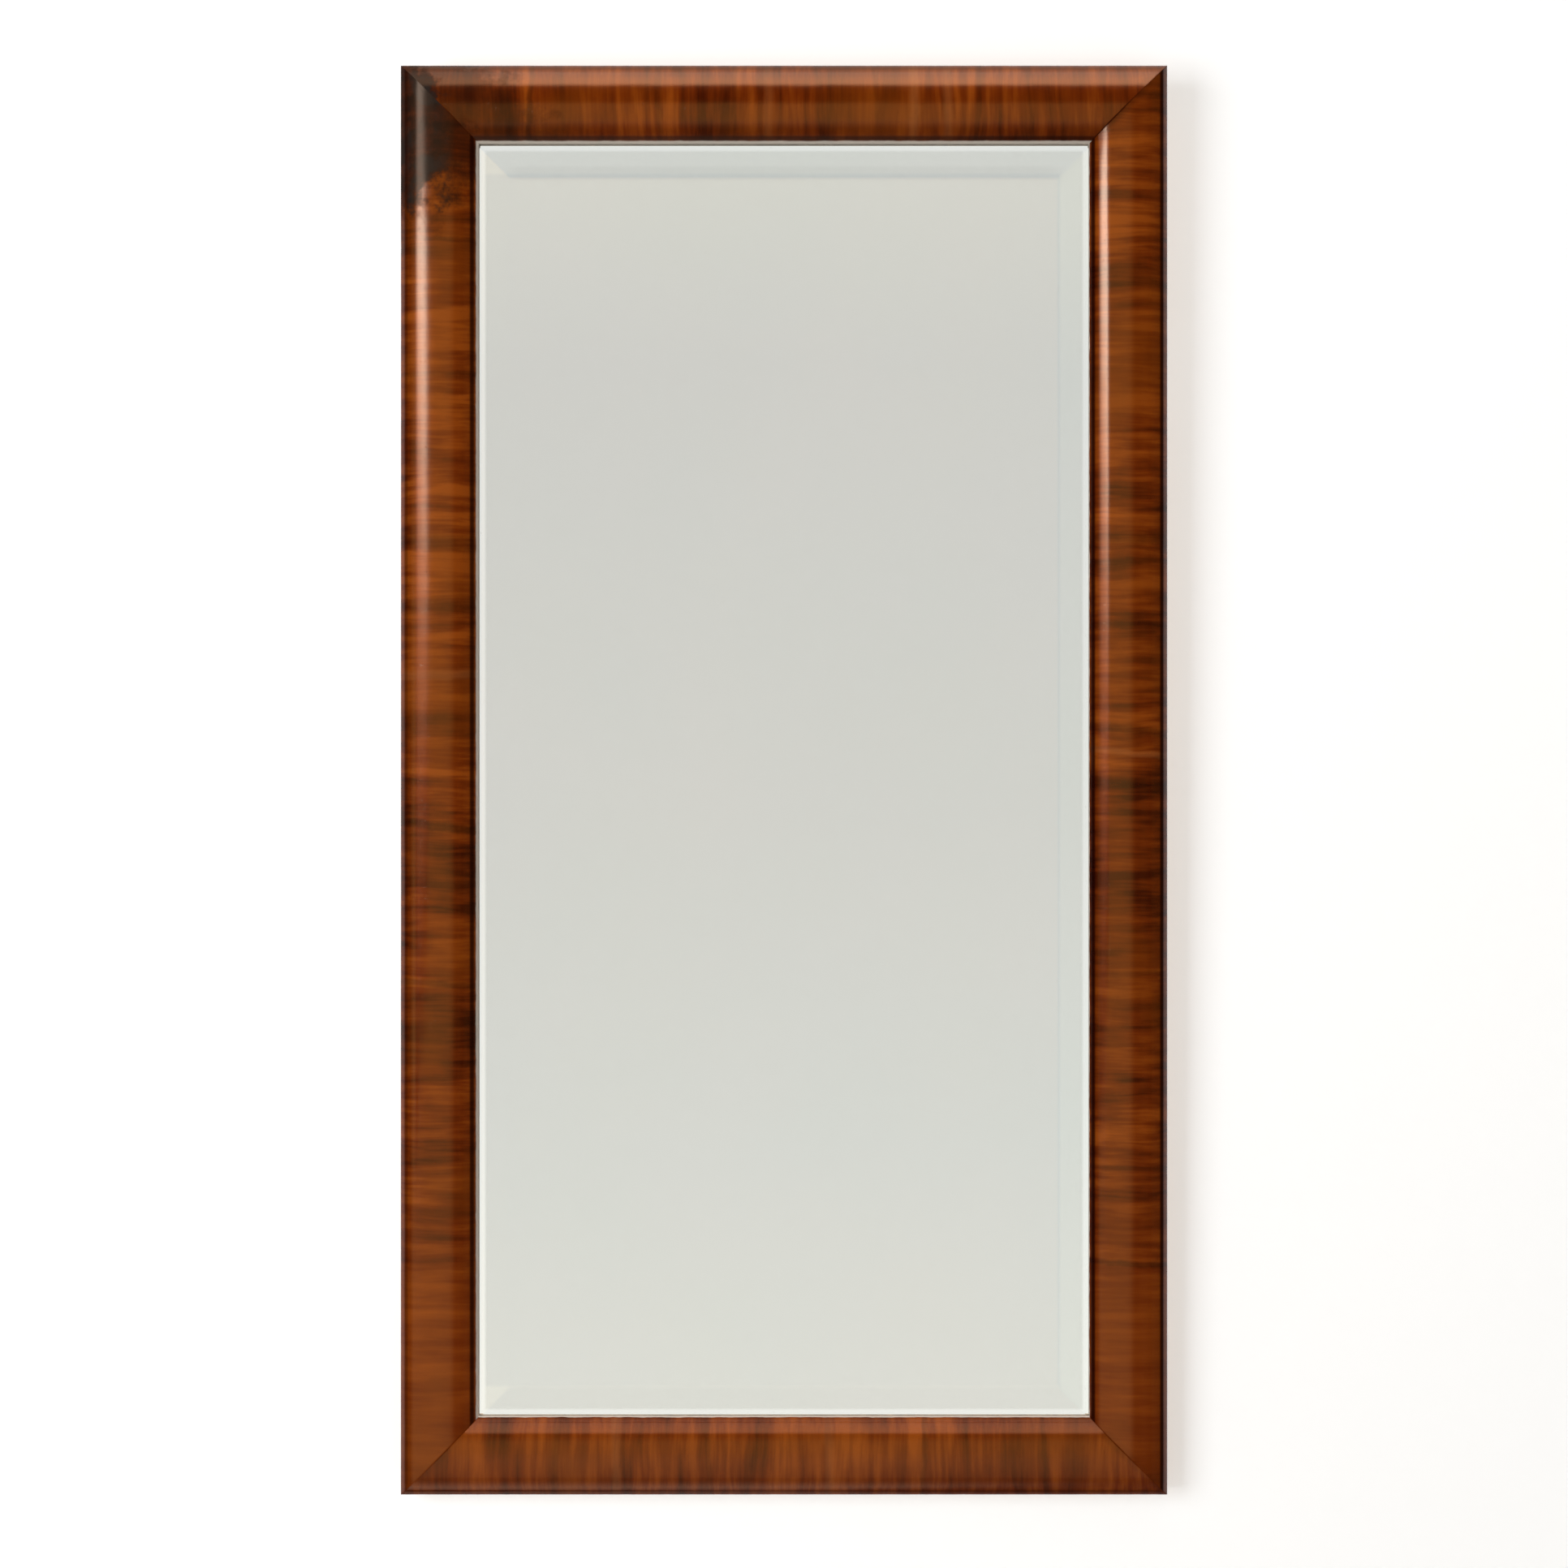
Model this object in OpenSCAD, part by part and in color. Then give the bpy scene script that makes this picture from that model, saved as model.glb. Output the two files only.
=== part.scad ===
// Pier mirror: a bevelled and silvered plate in a mitred cushion frame, cross-banded with veneer.
// The frame faces -Y and the wall is the plane Y = 0. X = 0 is the middle of the width.
// Z = 0 is the height at which two wall hooks carry the hanging rings.

/* [Frame] */
// Overall width of the frame
frame_w = 590; // [450:10:800]
// Overall height of the frame
frame_h = 1100; // [800:10:1600]
// Height of the top edge above the wall hooks
hook_drop = 200; // [100:10:300]
// Width of the moulding, from the outer edge to the sight edge
moulding_w = 60; // [54:1:80]
// Thickness of the frame at its outer and sight edges
side_t = 20; // [18:1:30]
// Radius of the middle of the cushion
crown_r = 90; // [60:5:200]
// Radius of the two shoulders of the cushion
shoulder_r = 26; // [23:1:40]
// Width of each shoulder
shoulder_w = 16; // [10:1:20]
// Thickness of the lip that covers the edge of the plate
lip_t = 5; // [3:0.5:6.5]
// Thickness of the veneer
veneer_t = 1; // [0.6:0.1:1.5]

/* [Rebates] */
// Width of the rebate that holds the plate
glass_rebate_w = 9; // [8:0.5:12]
// Width of the rebate that holds the back boards
board_rebate_w = 20; // [18:1:24]

/* [Mirror plate] */
// Thickness of the plate
plate_t = 5; // [4:0.5:6]
// Width of the bevel on the plate
bevel_w = 30; // [15:1:40]
// Thickness of the plate at its edge
bevel_edge_t = 2; // [1.5:0.1:3]
// How far the lip covers the plate at the sides
side_cover = 6; // [4:0.5:7]
// How far the lip covers the plate at the top
top_cover = 4; // [3:0.5:7]
// Play between the lip and the plate
plate_gap = 0.2; // [0.1:0.1:0.5]
// Thickness of the silvering and its paint
silver_t = 0.3; // [0.2:0.1:0.5]
// Thickness of the cork shims under the plate
shim_t = 1; // [0.5:0.5:3]
// Length of a cork shim
shim_l = 40; // [20:5:60]

/* [Retaining wedges] */
// Length of a wedge
wedge_l = 36; // [20:2:60]
// Width of a wedge
wedge_w = 8; // [5:0.5:9]
// Thickness of a wedge at its thin side
wedge_thin = 1.2; // [0.8:0.1:1.5]
// Play between a wedge and the back boards
wedge_gap = 0.1; // [0.1:0.1:0.3]
// Wedges along each stile
stile_wedges = 4; // [2:1:6]
// Wedges along each rail
rail_wedges = 2; // [1:1:3]

/* [Back boards] */
// Thickness of a board
board_t = 7; // [5:0.5:8]
// Depth of the boards below the back of the frame
board_inset = 1; // [0.5:0.5:2]
// Play between the boards and the rebate
board_gap = 0.5; // [0.2:0.1:1]
// Width of the lap between two boards
lap_w = 8; // [5:1:12]
// Play in the lap between two boards
lap_gap = 0.3; // [0.2:0.1:0.6]

/* [Board screws] */
// Diameter of a board screw
screw_d = 3; // [2.5:0.5:3.5]
// Length of a board screw
screw_l = 16; // [12:1:20]
// Diameter of its countersunk head
screw_head_d = 6; // [5:0.5:7]
// Height of its countersunk head
screw_head_h = 1.8; // [1.5:0.1:2.5]
// Screws along each stile
side_screws = 5; // [3:1:8]
// Play round a screw in the wood
screw_gap = 0.05; // [0.02:0.01:0.1]

/* [Mitre keys] */
// Length of the two short sides of a key
key_leg = 45; // [30:1:50]
// Thickness of a key
key_t = 3; // [2:0.5:4]
// Glue line round a key
key_gap = 0.1; // [0.05:0.05:0.2]

/* [Ring hangers] */
// Width of the strap
strap_w = 16; // [12:1:18]
// Thickness of the strap
strap_t = 1.2; // [1:0.1:1.6]
// Length of the strap past its lower screw
strap_end = 9; // [7:1:15]
// Diameter of the ring's wire
wire_d = 3; // [2.5:0.1:4]
// Length of the straight bar of the ring
bar_l = 20; // [19:1:26]
// Radius of the two lower bends of the ring
bend_r = 4; // [3:0.5:6]
// Length of the straight sides of the ring
leg_l = 4; // [2:0.5:10]
// Running play of the bar in the strap's barrel
pin_gap = 0.08; // [0.03:0.01:0.1]
// Gap between the resting ring and the back of the stile
ring_rest = 0.3; // [0.2:0.1:0.5]
// Gap between the barrel and the wall
wall_gap = 0.4; // [0.2:0.1:2]
// Diameter of a strap screw
strap_screw_d = 4; // [3:0.5:4.5]
// Length of a strap screw under its head
strap_screw_l = 15; // [10:1:16]
// Diameter of its round head
strap_head_d = 7; // [6:0.5:8]
// Height of its round head
strap_head_h = 2; // [1.5:0.1:2.4]
// Distance of each strap screw from where the folded ring lies
strap_screw_off = 10; // [8:0.5:12]

/* [Bumpers] */
// Diameter of a bumper
bumper_d = 14; // [10:1:20]
// Distance of the bumpers from the bottom edge
bumper_up = 28; // [20:1:60]
// Chamfer at the wall end of a bumper
bumper_chamfer = 0.8; // [0.2:0.1:1.5]

/* [Hidden] */
$fn = 96;
overcut = 1;                   // how far a cutting solid runs past what it cuts
slot_w = 0.8;                  // slot in a screw's head
slot_depth = 0.9;
point_l = 3;                   // point of a wood screw
barrel_lift = 0.05;            // the barrel stands this far off the wood
board_count = 3;

frame_top = hook_drop;
frame_bottom = hook_drop - frame_h;
sight_w = frame_w - 2 * moulding_w;
sight_h = frame_h - 2 * moulding_w;
sight_top = frame_top - moulding_w;
sight_bottom = frame_bottom + moulding_w;

// Heights are measured from the back of the frame towards its front.

// The cushion is a wide arc that runs smoothly into a tighter arc at each shoulder.
crown_tilt = asin((moulding_w / 2 - shoulder_w) / crown_r);
shoulder_off = (crown_r - shoulder_r) * sin(crown_tilt);
shoulder_mid_h = side_t - sqrt(pow(shoulder_r, 2) - pow(moulding_w / 2 - shoulder_off, 2));
crown_mid_h = shoulder_mid_h - (crown_r - shoulder_r) * cos(crown_tilt);
frame_t = crown_mid_h + crown_r;

ledge_h = side_t - lip_t;
land_h = board_inset + board_t;
bottom_cover = glass_rebate_w - shim_t;
covered_t = bevel_edge_t + (plate_t - bevel_edge_t) * bottom_cover / bevel_w;
plate_back_h = ledge_h - covered_t - plate_gap;
silver_back_h = plate_back_h - silver_t;
key_mid_h = (land_h + side_t) / 2;

plate_w = sight_w + 2 * side_cover;
plate_bottom = sight_bottom - bottom_cover;
plate_h = sight_top + top_cover - plate_bottom;

// The hanging rings turn in barrels at the top of their straps.
barrel_r = wire_d / 2 + pin_gap + strap_t;
hinge_off = barrel_r + barrel_lift;
stand_off = hinge_off + barrel_r + wall_gap;
crown_reach = bar_l / 2 + 2 * bend_r + leg_l;
ring_lean = asin((hinge_off - wire_d / 2 - ring_rest) / crown_reach);
hinge_y = hinge_off - stand_off;
hinge_z = -(crown_reach - wire_d / 2) * cos(ring_lean);
hanger_x = frame_w / 2 - (moulding_w - board_rebate_w) / 2;
strap_l = crown_reach + strap_screw_off + strap_end;
strap_screw_z = [for (side = [-1, 1]) hinge_z - crown_reach + side * strap_screw_off];

// The boards lie in their rebate and are screwed to its land.
boards_w = sight_w + 2 * (board_rebate_w - board_gap);
boards_bottom = sight_bottom - board_rebate_w + board_gap;
boards_h = sight_h + 2 * (board_rebate_w - board_gap);
board_pitch = boards_w / board_count;
screw_in = moulding_w - (board_rebate_w + glass_rebate_w) / 2;
side_screw_x = frame_w / 2 - screw_in;
board_screw_points = concat(
  [for (side = [-1, 1], k = [0 : side_screws - 1])
    [side * side_screw_x, sight_bottom + sight_h * (k + 0.5) / side_screws]],
  [for (z = [frame_bottom + screw_in, frame_top - screw_in], k = [0 : 2 * board_count - 1])
    [board_pitch * (k + 0.5 - board_count) / 2, z]]
);

// ---- Places ----

// The lower left corner of the frame's back: X inwards, Y to the front, Z up.
module at_left() {
  translate([-frame_w / 2, -stand_off, frame_bottom]) mirror([0, 1, 0]) children();
}

// The same corner with X up, Y to the front and Z along the bottom rail.
module at_bottom() {
  at_left() mirror([1, 0, -1]) children();
}

module to_right() {
  mirror([1, 0, 0]) children();
}

module to_top() {
  translate([0, 0, frame_top + frame_bottom]) mirror([0, 0, 1]) children();
}

// A point on a plane that lies h in front of the frame's back, with Z into the wood.
module from_back(x, z, h) {
  translate([x, -stand_off - h, z]) rotate([90, 0, 0]) children();
}

// ---- Frame members ----

// The moulding's outline under a cushion that lies `below` under the finished face.
module cushion_outline(below, outer) {
  mid = moulding_w / 2;
  reach = (crown_r - below) * sin(crown_tilt);
  intersection() {
    union() {
      square([moulding_w, side_t / 2]);
      intersection() {
        translate([mid, crown_mid_h]) circle(crown_r - below);
        translate([mid - reach, 0]) square([2 * reach, frame_t]);
      }
      translate([mid, 0]) for (side = [0, 1]) mirror([side, 0]) intersection() {
        translate([shoulder_off, shoulder_mid_h]) circle(shoulder_r - below);
        translate([reach, 0]) square([mid - reach, frame_t]);
      }
    }
    translate([outer, 0]) square([moulding_w - outer, frame_t]);
  }
}

module rebate_outline(width, height) {
  translate([moulding_w - width, -overcut]) square([width + overcut, height + overcut]);
}

module core_outline() {
  difference() {
    cushion_outline(veneer_t, veneer_t);
    rebate_outline(glass_rebate_w, ledge_h);
    rebate_outline(board_rebate_w, land_h);
  }
}

module face_outline() {
  difference() {
    cushion_outline(0, 0);
    cushion_outline(veneer_t, 0);
  }
}

module edge_outline() {
  intersection() {
    cushion_outline(veneer_t, 0);
    square([veneer_t, frame_t]);
  }
}

// A flat shape in X and Z, as thick as `thick`, that starts h in front of the back.
module slab(h, thick) {
  translate([0, h + thick, 0]) rotate([90, 0, 0]) linear_extrude(thick) children();
}

// A bar of the given outline whose two ends are cut at 45 degrees.
module mitred(length) {
  w = moulding_w;
  intersection() {
    linear_extrude(length) children();
    slab(-overcut, frame_t + 2 * overcut)
      polygon([[-w, -w], [2 * w, 2 * w], [2 * w, length - 2 * w], [-w, length + w]]);
  }
}

module core_cuts() {
  board_screw_holes();
  for (side = [0, 1]) mirror([side, 0, 0]) {
    strap_screw_holes();
    key_solid(key_gap);
    to_top() key_solid(key_gap);
  }
}

module core(length) {
  color([0.78, 0.62, 0.42]) mitred(length) core_outline();
}

module face_veneer(length) {
  color([0.46, 0.2, 0.06]) mitred(length) face_outline();
}

module edge_veneer(length) {
  color([0.36, 0.15, 0.05]) mitred(length) edge_outline();
}

module core_left() {
  difference() {
    at_left() core(frame_h);
    core_cuts();
  }
}

module core_right() {
  difference() {
    to_right() at_left() core(frame_h);
    core_cuts();
  }
}

module core_bottom() {
  difference() {
    at_bottom() core(frame_w);
    core_cuts();
  }
}

module core_top() {
  difference() {
    to_top() at_bottom() core(frame_w);
    core_cuts();
  }
}

// A thin triangle let into each mitre from the outer corner, under the edge veneer.
module key_solid(gap) {
  reach = key_leg + gap;
  at_left() slab(key_mid_h - key_t / 2 - gap, key_t + 2 * gap)
    polygon([[veneer_t, veneer_t], [reach, veneer_t], [veneer_t, reach]]);
}

module mitre_key() {
  color([0.62, 0.42, 0.24]) key_solid(0);
}

// ---- Mirror plate ----

// What is ground off along one edge of the plate.
module bevel_cut(length) {
  slope = (plate_t - bevel_edge_t) / bevel_w;
  translate([0, 0, -overcut]) linear_extrude(length + 2 * overcut)
    polygon([
      [-overcut, bevel_edge_t - slope * overcut],
      [bevel_w, plate_t],
      [bevel_w, plate_t + overcut],
      [-overcut, plate_t + overcut]
    ]);
}

// The lower left corner of the plate's back: X inwards, Y to the front, Z up.
module at_plate() {
  translate([-plate_w / 2, -stand_off - plate_back_h, plate_bottom]) mirror([0, 1, 0]) children();
}

module mirror_plate() {
  color([0.8, 0.82, 0.8, 0.6]) at_plate() difference() {
    cube([plate_w, plate_t, plate_h]);
    bevel_cut(plate_h);
    translate([plate_w, 0, 0]) mirror([1, 0, 0]) bevel_cut(plate_h);
    mirror([1, 0, -1]) bevel_cut(plate_w);
    translate([0, 0, plate_h]) mirror([0, 0, 1]) mirror([1, 0, -1]) bevel_cut(plate_w);
  }
}

module silvering() {
  color([0.78, 0.78, 0.76]) at_plate() translate([0, -silver_t, 0])
    cube([plate_w, silver_t, plate_h]);
}

module setting_shims() {
  color([0.66, 0.5, 0.34]) at_plate()
    for (side = [1, 3]) translate([side * plate_w / 4 - shim_l / 2, 0, -shim_t])
      cube([shim_l, bevel_edge_t, shim_t]);
}

// A row of wedges along one member, glued between the rebate's wall and the plate's back.
module wedge_row(count, span) {
  wall = moulding_w - glass_rebate_w;
  for (k = [0 : count - 1])
    translate([wall, 0, moulding_w + span * (k + 0.5) / count - wedge_l / 2])
      linear_extrude(wedge_l)
        polygon([
          [0, silver_back_h],
          [wedge_w, silver_back_h],
          [wedge_w, silver_back_h - wedge_thin],
          [0, land_h + wedge_gap]
        ]);
}

module retaining_wedges() {
  color([0.74, 0.58, 0.4]) {
    at_left() wedge_row(stile_wedges, sight_h);
    to_right() at_left() wedge_row(stile_wedges, sight_h);
    at_bottom() wedge_row(rail_wedges, sight_w);
    to_top() at_bottom() wedge_row(rail_wedges, sight_w);
  }
}

// ---- Back boards ----

// Part of a board, from x0 to x1, between two depths of the boards' thickness.
module board_part(x0, x1, h0, h1) {
  translate([x0, -stand_off - board_inset - h1, boards_bottom]) cube([x1 - x0, h1 - h0, boards_h]);
}

// The middle board laps over its neighbours from behind.
module board_middle() {
  half = board_pitch / 2;
  body = half - lap_w / 2;
  tongue = half + lap_w / 2 - lap_gap;
  color([0.72, 0.55, 0.36]) difference() {
    union() {
      board_part(-body, body, 0, board_t);
      board_part(-tongue, tongue, 0, (board_t - lap_gap) / 2);
    }
    board_screw_holes();
  }
}

module board_left() {
  body = board_pitch / 2 + lap_w / 2;
  tongue = board_pitch / 2 - lap_w / 2 + lap_gap;
  color([0.72, 0.55, 0.36]) difference() {
    union() {
      board_part(-boards_w / 2, -body, 0, board_t);
      board_part(-boards_w / 2, -tongue, (board_t + lap_gap) / 2, board_t);
    }
    board_screw_holes();
  }
}

// ---- Screws ----

// A wood screw with Z into the wood and its head's face, or its seat, at Z = 0.
module screw_shank(d, length) {
  cylinder(d = d, h = length - point_l);
  translate([0, 0, length - point_l]) cylinder(d1 = d, d2 = slot_w, h = point_l);
}

module screw_slot(head_d) {
  translate([-head_d, -slot_w / 2, -overcut]) cube([2 * head_d, slot_w, overcut + slot_depth]);
}

module countersink(gap) {
  cylinder(d1 = screw_head_d + 2 * gap, d2 = screw_d + 2 * gap, h = screw_head_h);
}

module board_screw_holes() {
  for (p = board_screw_points) from_back(p[0], p[1], board_inset) {
    countersink(screw_gap);
    cylinder(d = screw_d + 2 * screw_gap, h = screw_l + screw_gap);
  }
}

module board_screws() {
  color([0.7, 0.6, 0.36])
    for (k = [0 : len(board_screw_points) - 1])
      from_back(board_screw_points[k][0], board_screw_points[k][1], board_inset) difference() {
        union() {
          countersink(0);
          screw_shank(screw_d, screw_l);
        }
        rotate([0, 0, 47 * k]) screw_slot(screw_head_d);
      }
}

module strap_screw_holes() {
  for (z = strap_screw_z) from_back(-hanger_x, z, -strap_t)
    translate([0, 0, -overcut])
      cylinder(d = strap_screw_d + 2 * screw_gap, h = overcut + strap_screw_l + screw_gap);
}

module round_head() {
  dome_r = (pow(strap_head_d / 2, 2) + pow(strap_head_h, 2)) / (2 * strap_head_h);
  intersection() {
    translate([0, 0, dome_r - strap_head_h]) sphere(dome_r);
    translate([0, 0, -2 * strap_head_h]) cylinder(d = 2 * strap_head_d, h = 2 * strap_head_h);
  }
}

module strap_screws() {
  color([0.6, 0.6, 0.58])
    for (z = strap_screw_z) from_back(-hanger_x, z, -strap_t) difference() {
      union() {
        round_head();
        screw_shank(strap_screw_d, strap_screw_l);
      }
      translate([0, 0, -strap_head_h]) screw_slot(strap_head_d);
    }
}

// ---- Ring hangers ----

module at_hinge() {
  translate([-hanger_x, hinge_y, hinge_z]) children();
}

// The strap's outline below the hinge: a rectangle with an arched lower end.
module strap_outline() {
  end_r = 0.6 * strap_w;
  translate([-strap_w / 2, end_r - strap_l]) square([strap_w, strap_l - end_r]);
  intersection() {
    translate([-strap_w / 2, -strap_l]) square([strap_w, end_r]);
    translate([0, end_r - strap_l]) circle(end_r);
  }
}

module strap() {
  color([0.62, 0.62, 0.6]) difference() {
    union() {
      translate([-hanger_x, -stand_off + strap_t, hinge_z]) rotate([90, 0, 0])
        linear_extrude(strap_t) strap_outline();
      at_hinge() rotate([0, 90, 0]) cylinder(r = barrel_r, h = strap_w, center = true);
    }
    at_hinge() rotate([0, 90, 0])
      cylinder(r = wire_d / 2 + pin_gap, h = strap_w + 2 * overcut, center = true);
    strap_screw_holes();
  }
}

// A bend in the ring's wire, in the XZ plane.
module wire_bend(radius, from, angle) {
  rotate([90, 0, 0]) rotate([0, 0, from]) rotate_extrude(angle = angle)
    translate([radius, 0]) circle(d = wire_d);
}

// The ring stands up from its bar and leans on the back of the stile.
module ring() {
  color([0.66, 0.66, 0.64]) at_hinge() rotate([ring_lean, 0, 0]) {
    rotate([0, 90, 0]) cylinder(d = wire_d, h = bar_l, center = true);
    for (side = [0, 1]) mirror([side, 0, 0]) {
      translate([bar_l / 2, 0, bend_r]) wire_bend(bend_r, -90, 90);
      translate([bar_l / 2 + bend_r, 0, bend_r]) cylinder(d = wire_d, h = leg_l);
    }
    translate([0, 0, bend_r + leg_l]) wire_bend(bar_l / 2 + bend_r, 0, 180);
  }
}

// ---- Bumpers ----

module bumper() {
  color([0.16, 0.15, 0.14])
    translate([-hanger_x, 0, frame_bottom + bumper_up]) rotate([90, 0, 0]) {
      cylinder(d1 = bumper_d - 2 * bumper_chamfer, d2 = bumper_d, h = bumper_chamfer);
      translate([0, 0, bumper_chamfer]) cylinder(d = bumper_d, h = stand_off - bumper_chamfer);
    }
}

// ---- Nodes ----

core_left();
core_right();
core_top();
core_bottom();
at_left() face_veneer(frame_h);  // veneer_left
to_right() at_left() face_veneer(frame_h);  // veneer_right
to_top() at_bottom() face_veneer(frame_w);  // veneer_top
at_bottom() face_veneer(frame_w);  // veneer_bottom
at_left() edge_veneer(frame_h);  // edge_veneer_left
to_right() at_left() edge_veneer(frame_h);  // edge_veneer_right
to_top() at_bottom() edge_veneer(frame_w);  // edge_veneer_top
at_bottom() edge_veneer(frame_w);  // edge_veneer_bottom
to_top() mitre_key();  // key_top_left
to_right() to_top() mitre_key();  // key_top_right
mitre_key();  // key_bottom_left
to_right() mitre_key();  // key_bottom_right
mirror_plate();
silvering();
setting_shims();
retaining_wedges();
board_left();
board_middle();
to_right() board_left();  // board_right
board_screws();
strap();  // strap_left
to_right() strap();  // strap_right
ring();  // ring_left
to_right() ring();  // ring_right
strap_screws();  // strap_screws_left
to_right() strap_screws();  // strap_screws_right
bumper();  // bumper_left
to_right() bumper();  // bumper_right
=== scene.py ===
import math
import bmesh
import bpy
from mathutils import Matrix, Vector


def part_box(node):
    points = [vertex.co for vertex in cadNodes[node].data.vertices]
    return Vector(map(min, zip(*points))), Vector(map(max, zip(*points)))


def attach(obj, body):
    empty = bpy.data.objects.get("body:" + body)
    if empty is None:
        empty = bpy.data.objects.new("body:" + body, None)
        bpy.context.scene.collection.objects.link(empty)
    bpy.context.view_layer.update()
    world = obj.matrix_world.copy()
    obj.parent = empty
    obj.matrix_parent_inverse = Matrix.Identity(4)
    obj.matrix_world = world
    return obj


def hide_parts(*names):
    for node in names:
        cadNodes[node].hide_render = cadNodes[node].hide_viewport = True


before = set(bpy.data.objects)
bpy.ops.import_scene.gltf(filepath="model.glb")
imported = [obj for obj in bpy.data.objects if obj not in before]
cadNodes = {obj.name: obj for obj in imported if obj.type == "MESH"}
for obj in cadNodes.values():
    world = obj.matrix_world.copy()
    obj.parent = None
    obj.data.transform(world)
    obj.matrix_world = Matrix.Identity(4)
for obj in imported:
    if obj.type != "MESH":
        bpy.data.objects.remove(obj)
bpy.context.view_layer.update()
scene = bpy.context.scene
print("frame loaded:", len(cadNodes), "CAD pieces")

# Places that the CAD gives, in metres. The front faces -Y and the wall is y = 0.
frameLow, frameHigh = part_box("veneer_left")[0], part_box("veneer_right")[1]
frameWidth, frameHeight = frameHigh.x - frameLow.x, frameHigh.z - frameLow.z
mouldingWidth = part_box("veneer_left")[1].x - frameLow.x
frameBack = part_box("core_left")[1].y
sightX, midZ = frameHigh.x - mouldingWidth, (frameLow.z + frameHigh.z) / 2
sightZ = frameHeight / 2 - mouldingWidth
boardCount = 3
boardPitch = (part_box("board_right")[1].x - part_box("board_left")[0].x) / boardCount


# Small helpers for node trees

def put(tree, kind, values=None, **settings):
    made = tree.nodes.new(kind)
    for name, value in settings.items():
        setattr(made, name, value)
    for name, value in (values or {}).items():
        if isinstance(value, bpy.types.NodeSocket):
            tree.links.new(value, made.inputs[name])
        else:
            made.inputs[name].default_value = value
    return made


def treeOf(*values):  # the tree that the first socket among the values is in
    return next(value.id_data for value in values if isinstance(value, bpy.types.NodeSocket))


def calc(operation, *terms, clamp=False):
    inputs = dict(enumerate(terms))
    made = put(treeOf(*terms), "ShaderNodeMath", inputs, operation=operation, use_clamp=clamp)
    return made.outputs[0]


def chain(operation, terms):
    result = terms[0]
    for term in terms[1:]:
        result = calc(operation, result, term)
    return result


def total(*terms):
    return chain("ADD", terms)


def times(*terms):
    return chain("MULTIPLY", terms)


def most(*terms):
    return chain("MAXIMUM", terms)


def least(*terms):
    return chain("MINIMUM", terms)


def minus(first, second):
    return calc("SUBTRACT", first, second)


def share(first, second):
    return calc("DIVIDE", first, second)


def scaled(value, factor, added, clamp=False):
    return calc("MULTIPLY_ADD", value, factor, added, clamp=clamp)


def unsigned(value):
    return calc("ABSOLUTE", value)


def axes(vector):
    return put(treeOf(vector), "ShaderNodeSeparateXYZ", {0: vector}).outputs


def point(x, y, z=0.0):
    return put(treeOf(x, y, z), "ShaderNodeCombineXYZ", {0: x, 1: y, 2: z}).outputs[0]


def mapped(vector, **settings):
    return put(treeOf(vector), "ShaderNodeMapping", {"Vector": vector, **settings}).outputs[0]


def stretched(vector, amounts):
    made = put(treeOf(vector), "ShaderNodeVectorMath", {0: vector, 1: amounts}, operation="MULTIPLY")
    return made.outputs[0]


def spread(value, low, high, toLow=0.0, toHigh=1.0):
    inputs = {0: value, 1: low, 2: high, 3: toLow, 4: toHigh}
    return put(treeOf(value), "ShaderNodeMapRange", inputs, interpolation_type="SMOOTHSTEP").outputs[0]


def noise(vector, scale, detail=2.0, roughness=0.5, seed=0.0):
    inputs = {"Vector": vector, "W": seed, "Scale": scale, "Detail": detail, "Roughness": roughness}
    return put(treeOf(vector), "ShaderNodeTexNoise", inputs, noise_dimensions="4D").outputs[0]


def cells(vector, scale):
    made = put(treeOf(vector), "ShaderNodeTexVoronoi", {"Vector": vector, "Scale": scale}, feature="F1")
    return made.outputs["Distance"]


def blendColour(factor, first, second, way="MIX"):
    tree = treeOf(factor, first, second)
    made = put(tree, "ShaderNodeMix", {0: factor}, data_type="RGBA", blend_type=way)
    for place, value in ((6, first), (7, second)):
        if isinstance(value, bpy.types.NodeSocket):
            tree.links.new(value, made.inputs[place])
        else:
            made.inputs[place].default_value = (*value, 1)
    return made.outputs[2]


def filtered(first, second):
    return blendColour(1.0, first, second, "MULTIPLY")


def toneRamp(factor, stops):
    made = put(treeOf(factor), "ShaderNodeValToRGB", {0: factor})
    while len(made.color_ramp.elements) < len(stops):
        made.color_ramp.elements.new(0.5)
    for element, (place, colour) in zip(made.color_ramp.elements, stops):
        element.position = place
        element.color = (*colour, 1) if isinstance(colour, tuple) else (colour, colour, colour, 1)
    return made.outputs[0]


socketKinds = {float: "NodeSocketFloat", int: "NodeSocketInt", tuple: "NodeSocketVector"}


def startTree(name, kind, inputs, outputs):
    tree = bpy.data.node_groups.new(name, kind)
    for label, start in inputs.items():
        socketKind = socketKinds.get(type(start), start)
        socket = tree.interface.new_socket(name=label, in_out="INPUT", socket_type=socketKind)
        if type(start) in socketKinds:
            socket.default_value = start
    for label, socketKind in outputs.items():
        tree.interface.new_socket(name=label, in_out="OUTPUT", socket_type=socketKind)
    return tree, tree.nodes.new("NodeGroupInput").outputs, tree.nodes.new("NodeGroupOutput")


# Effects that several materials share

def softBandGroup():  # 1 inside the half width, fading to 0 over the softness beyond it
    tree, given, result = startTree(
        "softBand", "ShaderNodeTree",
        {"Value": 0.0, "Centre": 0.0, "Half Width": 0.001, "Softness": 0.001}, {"Mask": "NodeSocketFloat"})
    away = unsigned(minus(given["Value"], given["Centre"]))
    outer = total(given["Half Width"], given["Softness"])
    tree.links.new(spread(away, outer, given["Half Width"]), result.inputs["Mask"])
    return tree


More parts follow.
